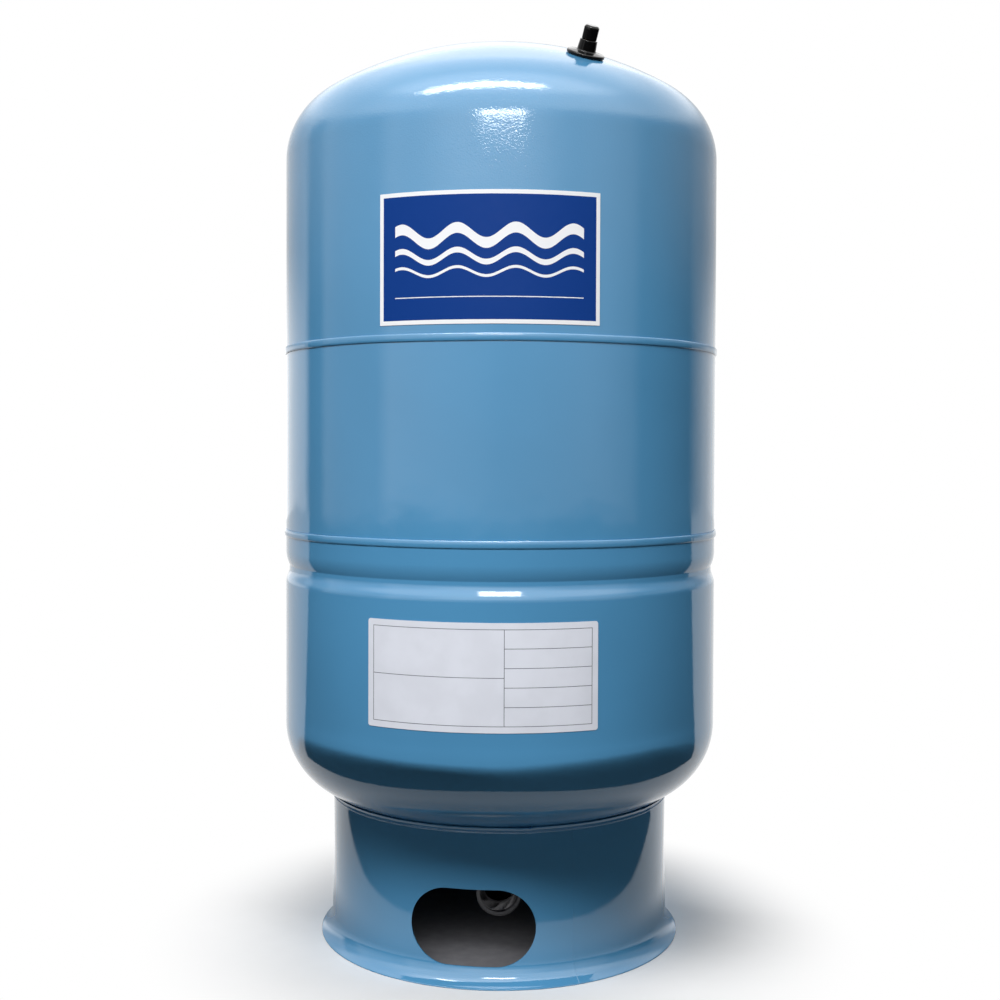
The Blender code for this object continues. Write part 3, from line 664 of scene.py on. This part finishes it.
def make_skirt_hole(skirt):
    """Cut the obround hole and ease its edge."""
    mesh = bmesh.new()
    half, end = 0.5 * (HOLE_WIDTH - HOLE_HEIGHT), 0.5 * HOLE_HEIGHT
    outline = arc((half, 0.0), end, -0.5 * math.pi, 0.5 * math.pi, HOLE_STEPS)
    outline += arc((-half, 0.0), end, 0.5 * math.pi, 1.5 * math.pi, HOLE_STEPS)
    near = [mesh.verts.new((x, -2.0 * LIP_RADIUS, HOLE_Z + z)) for x, z in outline]
    front = mesh.faces.new(near)
    extruded = bmesh.ops.extrude_face_region(mesh, geom=[front])
    far = [item for item in extruded["geom"] if isinstance(item, bmesh.types.BMVert)]
    bmesh.ops.translate(mesh, vec=Vector((0.0, 1.5 * LIP_RADIUS, 0.0)), verts=far)
    bmesh.ops.recalc_face_normals(mesh, faces=mesh.faces)
    bmesh.ops.rotate(mesh, matrix=Matrix.Rotation(HOLE_TURN, 3, "Z"), verts=mesh.verts)
    cutter = finished("skirt_hole_cutter", mesh)
    boolean = skirt.modifiers.new("hole", "BOOLEAN")
    boolean.operation = "DIFFERENCE"
    boolean.solver = "EXACT"
    boolean.object = cutter
    edge = skirt.modifiers.new("edge", "BEVEL")
    edge.width = HOLE_EDGE
    edge.segments = 2
    edge.limit_method = "ANGLE"
    edge.angle_limit = HOLE_CORNER
    graph = bpy.context.evaluated_depsgraph_get()
    cut = bpy.data.meshes.new_from_object(skirt.evaluated_get(graph))
    skirt.modifiers.clear()
    skirt.data = cut
    bpy.data.objects.remove(cutter, do_unlink=True)
    set_turned_normals(cut)


def set_turned_normals(mesh):
    """Give the skirt's sheet the normals of its own outline, so that the hole leaves no marks."""
    sides = []
    for inset in (0.0, SKIRT_WALL):
        points = np.array(skirt_outline(inset))[::-1]
        slope = np.gradient(points[:, 0], points[:, 1])
        sides.append((points[:, 1], points[:, 0], slope))
    normals = [tuple(corner.vector) for corner in mesh.corner_normals]
    for face in mesh.polygons:
        for corner in face.loop_indices:
            place = mesh.vertices[mesh.loops[corner].vertex_index].co
            radius = math.hypot(place.x, place.y)
            for sign, (heights, radii, slopes) in zip((1.0, -1.0), sides):
                if abs(np.interp(place.z, heights, radii) - radius) > NORMAL_REACH:
                    continue
                slope = float(np.interp(place.z, heights, slopes))
                turned = Vector((place.x / radius, place.y / radius, -slope)).normalized() * sign
                if turned.dot(face.normal) > NORMAL_MATCH:
                    normals[corner] = tuple(turned)
    mesh.normals_split_custom_set(normals)


def make_skirt_weld():
    """A hand-laid fillet: uneven, with lumps where it starts and stops."""
    leg = SKIRT_WELD_LEG
    side = SKIRT_TOP_RADIUS + SKIRT_WELD_GAP
    top = SKIRT_TOP_Z + SKIRT_WELD_REACH
    foot = top - SKIRT_WELD_RISE
    outline = [(side + leg, top)]
    for step in range(1, 10):
        angle = 0.5 * math.pi * step / 10
        out = leg * (1.0 - math.sin(angle)) ** SKIRT_WELD_HOLLOW
        down = SKIRT_WELD_RISE * (1.0 - math.cos(angle))
        outline.append((side + out + SKIRT_WELD_GAP, top - down))
    root = side - SKIRT_WELD_ROOT_DEPTH
    rim = (side + SKIRT_WELD_GAP, foot - SKIRT_WELD_RIM_DROP)
    outline += arc(rim, SKIRT_WELD_RIM, 0.45 * math.pi, -0.45 * math.pi, 8)
    outline += [(root, foot - SKIRT_WELD_ROOT_DROP), (root, SKIRT_TOP_Z + SKIRT_WELD_ROOT_TOP)]

    def uneven(radius, height, angle):
        out = (radius - side) / leg
        rough = ripples(SKIRT_WELD_RIPPLES, angle)
        lump = 0.0
        for centre, width, size in SKIRT_WELD_LUMPS:
            offset = math.atan2(math.sin(angle - centre), math.cos(angle - centre))
            lump += size * math.exp(-(offset / width) ** 2)
        grow = SKIRT_WELD_ROUGH * rough + SKIRT_WELD_LUMP * lump
        sag = SKIRT_WELD_SAG * grow if out > 0.05 else 0.0
        return radius + grow * max(out, 0.0), height - sag

    return lathe("skirt_weld_bead", outline, SKIRT_WELD_STEPS, uneven)


# Water connection

def sweep(name, path, outer, inner):
    """A tube with a wall along (depth, height) points in the plane X = 0."""
    mesh = bmesh.new()
    points = [Vector((0.0, depth, height)) for depth, height in path]
    across = Vector((1.0, 0.0, 0.0))
    sleeves = []
    for radius in (outer, inner):
        rings = []
        for index, point in enumerate(points):
            before, after = points[max(index - 1, 0)], points[min(index + 1, len(points) - 1)]
            up = (after - before).normalized().cross(across)
            ring = []
            for step in range(TUBE_SIDES):
                angle = 2.0 * math.pi * step / TUBE_SIDES
                out = math.cos(angle) * across + math.sin(angle) * up
                ring.append(mesh.verts.new(point + radius * out))
            rings.append(ring)
        sleeves.append(rings)
    loop = sleeves[0] + sleeves[1][::-1]
    for first, second in zip(loop, loop[1:] + loop[:1]):
        for step in range(TUBE_SIDES):
            after = (step + 1) % TUBE_SIDES
            mesh.faces.new((first[step], first[after], second[after], second[step]))
    bmesh.ops.recalc_face_normals(mesh, faces=mesh.faces)
    return finished(name, mesh)


def make_elbow():
    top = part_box("inlet_elbow")[1].z
    bend_top = OUTLET_Z + BEND_RADIUS
    path = [(0.0, top), (0.0, 0.5 * (top + bend_top))]
    path += arc((-BEND_RADIUS, bend_top), BEND_RADIUS, 0.0, -0.5 * math.pi, 20)
    path += [(-0.5 * (BEND_RADIUS + OUTLET_REACH), OUTLET_Z), (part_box("inlet_elbow")[0].y, OUTLET_Z)]
    return sweep("elbow_tube", path, TUBE_RADIUS, TUBE_RADIUS - TUBE_WALL)


def thread(height, angle, pitch, depth):
    """Depth below a thread's crest, at a height and angle."""
    share = (height / pitch - angle / (2.0 * math.pi)) % 1.0
    return depth * min(1.0, max(0.0, THREAD_SLOPE * abs(2.0 * share - 1.0) - THREAD_CREST))


def face_front(depth):
    """Place a lathed piece with its axis towards the front, this far before the tank's axis."""
    return Matrix.Translation((0.0, -depth, OUTLET_Z)) @ Matrix.Rotation(0.5 * math.pi, 4, "X")


def make_socket():
    """The socket, with its inside pipe thread."""
    side = TUBE_RADIUS + GAP
    edge = SOCKET_CHAMFER
    centre = SOCKET_RADIUS - edge
    seat = SOCKET_SEAT - SOCKET_LENGTH
    outline = arc((centre, -edge), edge, 0.5 * math.pi, 0.0, 8)
    outline += arc((centre, edge - SOCKET_LENGTH), edge, 0.0, -0.5 * math.pi, 8)
    outline += [(side, -SOCKET_LENGTH), (side, seat), (SOCKET_BORE, seat)]
    threaded = np.linspace(seat + SOCKET_THREAD_START, -edge, SOCKET_THREAD_RINGS)
    outline += [(SOCKET_BORE, float(height)) for height in threaded]
    outline += [(SOCKET_BORE + edge, 0.0)]

    def cut(radius, height, angle):
        if abs(radius - SOCKET_BORE) > ON_SURFACE or height < seat + 0.0005:
            return radius, height
        return radius + thread(height, angle, SOCKET_PITCH, SOCKET_THREAD), height

    return lathe("outlet_socket_threaded", outline, SMALL_STEPS, cut, matrix=face_front(OUTLET_REACH))


def make_fillet(name, lift, matrix=None):
    """A small weld fillet round the tube, which stands on the plane at the height lift."""
    side = TUBE_RADIUS + GAP
    leg = TUBE_WELD_LEG
    outline = [(side + leg, lift)]
    for step in range(1, 8):
        angle = 0.5 * math.pi * step / 8
        outline.append((side + leg * (1.0 - math.sin(angle)), lift - leg * (1.0 - math.cos(angle))))
    outline += [(side, lift - leg), (side, lift)]

    def ripple(radius, height, angle):
        share = (radius - side) / leg
        wave = ripples(TUBE_WELD_RIPPLES, angle)
        return radius + share * (TUBE_WELD_RIPPLE * wave - TUBE_WELD_SPARE), height

    return lathe(name, outline, FILLET_STEPS, ripple, matrix=matrix)


# Air valve

def valve_matrix():
    """Place of the valve: on the dome, on an axis square to it."""
    reach = SHELL_RADIUS - UPPER_KNUCKLE
    centre = UPPER_TANGENT_Z - math.sqrt((UPPER_CROWN - UPPER_KNUCKLE) ** 2 - reach ** 2)
    tilt = math.asin(VALVE_RADIUS / UPPER_CROWN)
    seat = Vector((
        VALVE_RADIUS * math.sin(VALVE_TURN),
        -VALVE_RADIUS * math.cos(VALVE_TURN),
        centre + UPPER_CROWN * math.cos(tilt),
    ))
    return Matrix.Translation(seat) @ Matrix.Rotation(VALVE_TURN, 4, "Z") @ Matrix.Rotation(tilt, 4, "X")


def make_collar(matrix):
    """The collar and its sleeve, hollowed underneath to lie on the dome."""
    stem = STEM_RADIUS + GAP
    edge, top = SLEEVE_TOP_RADIUS - SLEEVE_ROUND, SLEEVE_HEIGHT
    outline = [(stem, top), (edge, top)]
    outline += arc((edge, top - SLEEVE_ROUND), SLEEVE_ROUND, 0.5 * math.pi, 0.0, 6)[1:]
    fillet = (SLEEVE_BASE_RADIUS + COLLAR_FILLET, COLLAR_THICKNESS + COLLAR_FILLET)
    outline += arc(fillet, COLLAR_FILLET, math.pi, 1.44 * math.pi, 8)
    rim = (COLLAR_RADIUS - COLLAR_RIM, COLLAR_THICKNESS - COLLAR_RIM_DROP)
    outline += arc(rim, COLLAR_RIM, 0.45 * math.pi, 0.0, 8)
    outline += [(COLLAR_RADIUS, COLLAR_RIM)]
    foot = (COLLAR_RADIUS - COLLAR_FOOT, COLLAR_FOOT)
    outline += arc(foot, COLLAR_FOOT, 0.0, -0.5 * math.pi, 6)[1:]
    for radius in np.linspace(COLLAR_RADIUS - COLLAR_FOOT_INSET, stem, 8):
        drop = UPPER_CROWN - math.sqrt(UPPER_CROWN ** 2 - radius ** 2)
        outline.append((float(radius), GAP - drop))
    return lathe("valve_collar_moulded", outline, SMALL_STEPS, matrix=matrix)


def make_stem(matrix):
    """The stem: threaded where it stands out of the collar, with a wide foot inside the shell."""
    foot = FOOT_TOP - FOOT_THICKNESS
    rings = np.linspace(STEM_THREAD_HIGH, STEM_THREAD_LOW, STEM_THREAD_RINGS)
    edge = (STEM_RADIUS - STEM_ROUND, STEM_HEIGHT - STEM_ROUND)
    outline = arc(edge, STEM_ROUND, 0.5 * math.pi, 0.0, 4)
    outline += [(STEM_RADIUS, float(height)) for height in rings]
    outline += [(STEM_RADIUS, FOOT_TOP), (FOOT_RADIUS, FOOT_TOP), (FOOT_RADIUS, foot)]
    outline += [(STEM_PASSAGE, foot), (STEM_PASSAGE, STEM_STEP), (STEM_BORE, STEM_STEP)]
    outline += [(STEM_BORE, STEM_HEIGHT - STEM_CHAMFER), (STEM_BORE + STEM_CHAMFER, STEM_HEIGHT)]

    def cut(radius, height, angle):
        if abs(radius - STEM_RADIUS) > ON_SURFACE or not STEM_THREAD_LOW < height < STEM_THREAD_HIGH:
            return radius, height
        return radius - thread(height, angle, STEM_PITCH, STEM_THREAD), height

    return lathe("valve_stem_threaded", outline, SMALL_STEPS, cut, matrix=matrix)


def make_cap(matrix):
    """The six-sided cap: every ring of its outer side is a hexagon with blunt corners."""
    low = SLEEVE_HEIGHT + GAP
    top = low + CAP_LENGTH
    roof = low + CAP_BORE_DEPTH
    chamfer = CAP_CHAMFER
    # From the middle of the top out over the chamfer, both of whose edges are eased
    outline = [(0.0, top), (0.25 * CAP_RADIUS, top), (0.6 * CAP_RADIUS, top)]
    outline += [(CAP_RADIUS - chamfer - 0.0002, top), (CAP_RADIUS - chamfer + 0.0001, top - 0.0001)]
    outline += [(CAP_RADIUS - 0.0003, top - chamfer + 0.0003), (CAP_RADIUS, top - chamfer - 0.0001)]
    outline += [(CAP_RADIUS, top - 0.3 * CAP_LENGTH), (CAP_RADIUS, low + 0.3 * CAP_LENGTH)]
    outline += [(CAP_RADIUS, low + CAP_FOOT_EDGE), (CAP_RADIUS - CAP_FOOT_EDGE, low)]
    outline += [(CAP_BORE + CAP_BORE_EDGE, low), (CAP_BORE, low + CAP_BORE_EDGE)]
    outline += [(CAP_BORE, roof), (0.0, roof)]

    def hexagon(radius, height, angle):
        if radius <= CAP_BORE + CAP_BORE_EDGE + 0.0001 and height < roof + 0.0001:
            return radius, height
        pitch = 2.0 * math.pi / CAP_SIDES
        flat = CAP_FLAT / math.cos(angle % pitch - 0.5 * pitch)
        blunt = (flat ** -CAP_BLUNTNESS + CAP_RADIUS ** -CAP_BLUNTNESS) ** (-1.0 / CAP_BLUNTNESS)
        return radius * blunt / CAP_RADIUS, height

    return lathe("valve_cap_moulded", outline, CAP_STEPS, hexagon, closed=False, matrix=matrix)


# Stickers

def make_label(name, edges):
    """A thin closed sheet that follows the shell, with rounded corners."""
    radius = LABEL_RADIUS + LABEL_THICKNESS
    corner = edges["round"]
    half = 0.5 * (edges["right"] - edges["left"]) * radius
    middle = 0.5 * (edges["right"] + edges["left"])
    turns = [0.5 * math.pi * step / CORNER_STEPS for step in range(CORNER_STEPS + 1)]
    rounds = [half - corner * (1.0 - math.cos(turn)) for turn in turns]
    between = np.linspace(-half + corner, half - corner, LABEL_COLUMNS)[1:-1]
    places = [-place for place in rounds] + list(between) + rounds[::-1]
    grid = []
    for place in places:
        past = max(0.0, abs(place) - half + corner)
        pull = corner - math.sqrt(max(0.0, corner ** 2 - past ** 2))
        angle = middle + place / radius
        heights = np.linspace(edges["low"] + pull, edges["high"] - pull, LABEL_ROWS)
        grid.append([(math.sin(angle), -math.cos(angle), float(height)) for height in heights])

    mesh = bmesh.new()
    rims = []
    for side in (radius, LABEL_RADIUS):
        rows = [[mesh.verts.new((side * x, side * y, z)) for x, y, z in column] for column in grid]
        for first, second in zip(rows, rows[1:]):
            for step in range(LABEL_ROWS - 1):
                mesh.faces.new((first[step], second[step], second[step + 1], first[step + 1]))
        low_edge, high_edge = [row[0] for row in rows], [row[-1] for row in rows]
        rims.append(low_edge + rows[-1][1:-1] + high_edge[::-1] + rows[0][-2:0:-1])
    outer, inner = rims
    for step in range(len(outer)):
        mesh.faces.new((outer[step - 1], outer[step], inner[step], inner[step - 1]))
    bmesh.ops.recalc_face_normals(mesh, faces=mesh.faces)
    return finished(name, mesh)


def label_place(n):
    """Distance round the shell from the front, and height."""
    place = n.add("ShaderNodeSeparateXYZ", {"Vector": n.place()})
    turn = n.math("ARCTAN2", place.outputs["X"], n.math("MULTIPLY", place.outputs["Y"], -1.0))
    return n.math("MULTIPLY", turn, LABEL_RADIUS), place.outputs["Z"]


def band(n, value, low, high):
    """1 between two values, 0 elsewhere."""
    return n.math("COMPARE", value, 0.5 * (low + high), 0.5 * (high - low))


def field(n, across, height, edges, margin):
    """1 inside a margin round a label's print, 0 elsewhere."""
    left, right = edges["left"] * LABEL_RADIUS, edges["right"] * LABEL_RADIUS
    wide = band(n, across, left + margin, right - margin)
    return n.math("MULTIPLY", wide, band(n, height, edges["low"] + margin, edges["high"] - margin))


LABEL_BLUE = (0.0025, 0.0350, 0.2000)
LABEL_WHITE = (0.82, 0.83, 0.85)
LABEL_SILVER = (0.70, 0.725, 0.80)
LABEL_SILVER_TONES = (0.97, 1.03)
RULE_GREY = (0.10, 0.11, 0.13)


def front_label_film(name):
    """A blue field in a white border, with plain waves and a rule across it."""
    n = Surface(name)
    across, height = label_place(n)
    left, right = FRONT_LABEL["left"] * LABEL_RADIUS, FRONT_LABEL["right"] * LABEL_RADIUS
    wave = n.math("SINE", n.math("MULTIPLY", across, 2.0 * math.pi / WAVE_LENGTH))
    printed = band(n, height, *FRONT_RULE)
    for centre, swing, half in WAVES:
        line = n.math("SUBTRACT", height, n.math("MULTIPLY", wave, swing))
        printed = n.math("MAXIMUM", printed, n.math("COMPARE", line, centre, half))
    printed = n.math("MULTIPLY", printed, band(n, across, left + WAVE_MARGIN, right - WAVE_MARGIN))
    border = n.math("SUBTRACT", 1.0, field(n, across, height, FRONT_LABEL, FRONT_BORDER))
    white = n.math("MAXIMUM", border, printed, clamp=True)
    n.set(Base_Color=n.mix(white, opaque(LABEL_BLUE), opaque(LABEL_WHITE)))
    n.set(Roughness=n.spread(n.noise(150.0), 0.50, 0.58), Normal=n.bump(n.noise(60.0, 2.0), 0.00008))
    n.set(Specular_IOR_Level=0.12)
    return n.material


def data_label_film(name):
    """A pale film with the plain ruled fields of an unfilled form."""
    n = Surface(name)
    across, height = label_place(n)
    left, right = DATA_LABEL["left"] * LABEL_RADIUS, DATA_LABEL["right"] * LABEL_RADIUS
    low, high = DATA_LABEL["low"], DATA_LABEL["high"]
    split = left + FORM_SPLIT * (right - left)
    lines = band(n, across, split - RULE_HALF, split + RULE_HALF)
    for side, share in FORM_RULES:
        level = low + DATA_MARGIN + share * (high - low - 2.0 * DATA_MARGIN)
        stroke = band(n, height, level - RULE_HALF, level + RULE_HALF)
        stroke = n.math("MULTIPLY", stroke, n.math(side, across, split))
        lines = n.math("MAXIMUM", lines, stroke)
    inside = field(n, across, height, DATA_LABEL, DATA_MARGIN)
    border = n.math("SUBTRACT", inside, field(n, across, height, DATA_LABEL, FRAME_MARGIN))
    lines = n.math("MAXIMUM", n.math("MULTIPLY", lines, inside), border)
    low_tone, high_tone = (opaque(LABEL_SILVER, tone) for tone in LABEL_SILVER_TONES)
    film = n.mix(n.spread(n.noise(40.0, 3.0)), low_tone, high_tone)
    n.set(Base_Color=n.mix(lines, film, opaque(RULE_GREY)))
    n.set(Roughness=n.spread(n.noise(150.0), 0.45, 0.55), Normal=n.bump(n.noise(50.0, 2.0), 0.00010))
    n.set(Specular_IOR_Level=0.20)
    return n.material


# Floor, lights and camera

def make_floor():
    """A pale floor, white further off, with painted shade under the skirt, on which only reflections meet
    a dark cloth.
    """
    bpy.ops.mesh.primitive_plane_add(size=FLOOR_SIZE)
    floor = bpy.context.object
    floor.name = "floor"
    n = Surface("pale_floor")
    place = n.add("ShaderNodeSeparateXYZ", {"Vector": n.place()})
    path = n.add("ShaderNodeLightPath")
    seen = n.math("MAXIMUM", path.outputs["Is Camera Ray"], path.outputs["Is Transmission Ray"])
    gloss = path.outputs["Is Glossy Ray"]
    across = n.math("ABSOLUTE", place.outputs["X"])
    curve = n.math("MULTIPLY_ADD", n.math("POWER", across, 2.0), CLOTH_CURVE, -CLOTH_EDGE)
    side = n.math("MULTIPLY_ADD", across, CLOTH_SIDE, -CLOTH_SIDE_EDGE)
    inside = n.math("SUBTRACT", n.math("MINIMUM", curve, side), place.outputs["Y"])
    cloth = n.mix(n.ramp(inside, 0.0, CLOTH_BLEND), grey(FLOOR_TONE), grey(CLOTH_TONE))
    unseen = n.mix(gloss, grey(BOUNCE_TONE), cloth)
    grain = n.mix(n.noise(40.0, 3.0), *(grey(tone) for tone in FLOOR_GRAIN))
    away = n.add("ShaderNodeVectorMath", {0: n.place()}, operation="LENGTH").outputs["Value"]
    # Painted shade: a dark grained floor under the skirt, where the tank casts its shade
    under_skirt_shade = n.mix(n.noise(90.0, 4.0), opaque(UNDER_SKIRT_SHADE_DARK), opaque(UNDER_SKIRT_SHADE_PALE))
    grain = n.mix(n.ramp(away, *UNDER_SKIRT_SHADE_EDGE), under_skirt_shade, grain)
    n.set(Base_Color=n.mix(seen, unseen, grain), Roughness=1.0, Specular_IOR_Level=0.0)
    outside = n.math("MULTIPLY", n.ramp(inside, 0.0, CLOTH_BLEND, 1.0, 0.0), gloss)
    fade = n.math(
        "ADD",
        n.math("MULTIPLY", n.ramp(away, *FLOOR_FADE), seen),
        n.math("MULTIPLY", n.ramp(away, *MIRRORED_FADE), outside),
    )
    white = n.add("ShaderNodeEmission", {"Color": grey(1.0), "Strength": 1.0})
    mix = n.add("ShaderNodeMixShader", {0: fade, 1: n.shader.outputs[0], 2: white.outputs[0]})
    n.tree.links.new(mix.outputs[0], n.tree.nodes["Material Output"].inputs["Surface"])
    floor.data.materials.append(n.material)


def make_flag():
    """A black card round the front of the lower head, which the camera doesn't see."""
    mesh = bmesh.new()
    rows = []
    turns, inner, outer = zip(*FLAG_RADII)
    for turn in np.linspace(turns[0], turns[-1], FLAG_COLUMNS):
        sine, cosine = math.sin(math.radians(turn)), math.cos(math.radians(turn))
        radii = (float(np.interp(turn, turns, inner)), float(np.interp(turn, turns, outer)))
        rows.append([mesh.verts.new((r * sine, -r * cosine, FLAG_Z)) for r in radii])
    for first, second in zip(rows, rows[1:]):
        mesh.faces.new((first[0], first[1], second[1], second[0]))
    flag = finished("flag_card", mesh)
    n = Surface("flag_black")
    tone = n.mix(n.noise(30.0), *(grey(tone) for tone in FLAG_TONES))
    n.set(Base_Color=tone, Roughness=1.0, Specular_IOR_Level=0.0)
    put_on(flag, n.material)
    flag.visible_camera = False
    flag.visible_transmission = False


def area_light(name, place, aim, size, radiance, kind, shape):
    """A lamp that gives diffuse light only or is seen in gloss only."""
    data = bpy.data.lights.new(name, "AREA")
    data.shape = shape
    data.size, data.size_y = size
    area = size[0] * size[1] * (0.25 * math.pi if shape == "ELLIPSE" else 1.0)
    data.energy = radiance * area * math.pi
    light = bpy.data.objects.new(name, data)
    light.location = place
    light.rotation_mode = "QUATERNION"
    light.rotation_quaternion = (Vector(aim) - Vector(place)).to_track_quat("-Z", "Y")
    light.visible_camera = False
    light.visible_diffuse = kind == "DIFFUSE"
    light.visible_glossy = kind == "GLOSS"
    bpy.context.scene.collection.objects.link(light)


def make_world():
    """A pale room: even for diffuse light, with its panels, dark flags and bright ceiling in gloss."""
    world = bpy.data.worlds.new("studio")
    bpy.context.scene.world = world
    n = Nodes(world)
    n.tree.nodes.clear()
    way = n.add("ShaderNodeSeparateXYZ", {"Vector": n.add("ShaderNodeTexCoord").outputs["Generated"]})
    depth = way.outputs["Y"]
    turn = n.math("ARCTAN2", way.outputs["X"], n.math("MULTIPLY", depth, -1.0))
    lift = n.math("ARCSINE", way.outputs["Z"])

    share = n.math("ADD", n.math("DIVIDE", turn, 2.0 * math.pi), 0.5)
    room = n.add("ShaderNodeValToRGB", {"Fac": share})
    stops = room.color_ramp.elements
    while len(stops) > 1:
        stops.remove(stops[-1])
    stops[0].position = 0.0
    stops[0].color = grey(ROOM[0][1] / ROOM_SCALE)
    for angle, glow in ROOM:
        stops.new(angle / 360.0 + 0.5).color = grey(glow / ROOM_SCALE)
    level = n.math("MULTIPLY", room.outputs["Color"], ROOM_SCALE)

    off_centre = n.math("ABSOLUTE", n.math("ADD", turn, PANEL_TURN))
    panel = n.ramp(off_centre, *PANEL_EDGES, FRONT_PANEL, 0.0)
    level = n.math("ADD", level, n.ramp(lift, *HAZE_LIFT, 0.0, n.math("ADD", panel, ROOM_HAZE)))
    rear = n.ramp(depth, *REAR_DEPTH, 1.0, REAR_SHADE)
    level = n.math("MULTIPLY", level, n.ramp(lift, *REAR_LIFT, 1.0, rear))
    level = n.ramp(lift, *UPPER_LIFT, level, n.ramp(depth, *UPPER_DEPTH, *UPPER_ROOM))
    glossy = n.ramp(lift, *CEILING_LIFT, level, n.ramp(depth, *CEILING_DEPTH, *CEILING))

    path = n.add("ShaderNodeLightPath")
    gloss = path.outputs["Is Glossy Ray"]
    seen = n.math("MAXIMUM", path.outputs["Is Camera Ray"], path.outputs["Is Transmission Ray"])
    rest = n.math("SUBTRACT", 1.0, n.math("MAXIMUM", gloss, seen))
    strength = n.math("ADD", n.math("MULTIPLY", glossy, gloss), seen)
    strength = n.math("ADD", strength, n.math("MULTIPLY", AMBIENT, rest))
    background = n.add("ShaderNodeBackground", {"Color": grey(1.0), "Strength": strength})
    n.add("ShaderNodeOutputWorld", {"Surface": background.outputs[0]})


def make_camera():
    data = bpy.data.cameras.new("camera")
    data.sensor_width = CAMERA_SENSOR
    data.lens = CAMERA_LENS
    data.shift_x, data.shift_y = CAMERA_SHIFT
    camera = bpy.data.objects.new("camera", data)
    camera.matrix_world = (
        Matrix.Translation((0.0, -CAMERA_DISTANCE, CAMERA_HEIGHT))
        @ Matrix.Rotation(0.5 * math.pi + CAMERA_PITCH, 4, "X")
        @ Matrix.Rotation(CAMERA_ROLL, 4, "Z")
    )
    bpy.context.scene.collection.objects.link(camera)
    bpy.context.scene.camera = camera


def put_on(piece, material):
    piece.data.materials.clear()
    piece.data.materials.append(material)
    return piece


def main():
    blue = enamel("enamel")
    black = moulded_black("moulded_black")
    steel_painted_shade = grained("stainless_painted_shade")
    gold = grained("brass")

    skirt = make_skirt()
    make_skirt_hole(skirt)
    for piece, node in (
        (make_upper_shell(), "upper_shell"),
        (make_middle_shell(), "middle_shell"),
        (make_lower_shell(), "lower_shell"),
        (make_girth_weld("upper_bead", UPPER_SEAM_Z), "upper_girth_weld"),
        (make_girth_weld("lower_bead", LOWER_SEAM_Z), "lower_girth_weld"),
        (make_skirt_weld(), "skirt_weld"),
    ):
        stands_for(put_on(piece, blue), node)
    stands_for(put_on(skirt, enamel("skirt_enamel", SEAM_TURN)), "base_skirt")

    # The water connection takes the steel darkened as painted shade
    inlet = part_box("inlet_weld")[1].z - TUBE_WELD_SPARE
    for piece, node in (
        (make_elbow(), "inlet_elbow"),
        (make_socket(), "outlet_socket"),
        (make_fillet("socket_fillet", -GAP, face_front(OUTLET_REACH - SOCKET_LENGTH)), "socket_weld"),
        (make_fillet("inlet_fillet", inlet), "inlet_weld"),
    ):
        stands_for(put_on(piece, steel_painted_shade), node)

    valve = valve_matrix()
    stands_for(put_on(make_collar(valve), black), "valve_collar")
    stands_for(put_on(make_stem(valve), gold), "valve_stem")
    stands_for(put_on(make_cap(valve), black), "valve_cap", "cap")

    front = put_on(make_label("front_label_film", FRONT_LABEL), front_label_film("front_film"))
    stands_for(front, "front_label")
    data = put_on(make_label("data_label_film", DATA_LABEL), data_label_film("data_film"))
    stands_for(data, "data_label")

    for names, material in (
        (("chamber_liner", "inlet_diffuser"), grained("white_plastic")),
        (("diaphragm", "neck_seal", "valve_washer", "core_seal", "cap_seal"), grained("rubber")),
        (("clamp_ring", "core_spring"), grained("strip_steel")),
        (("core_sleeve", "core_pin"), gold),
    ):
        for name in names:
            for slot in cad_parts[name].material_slots:
                slot.material = material

    make_floor()
    make_flag()
    for lamp in LAMPS:
        area_light(*lamp)
    make_world()
    make_camera()


main()
bpy.context.scene.view_settings.view_transform = "Standard"
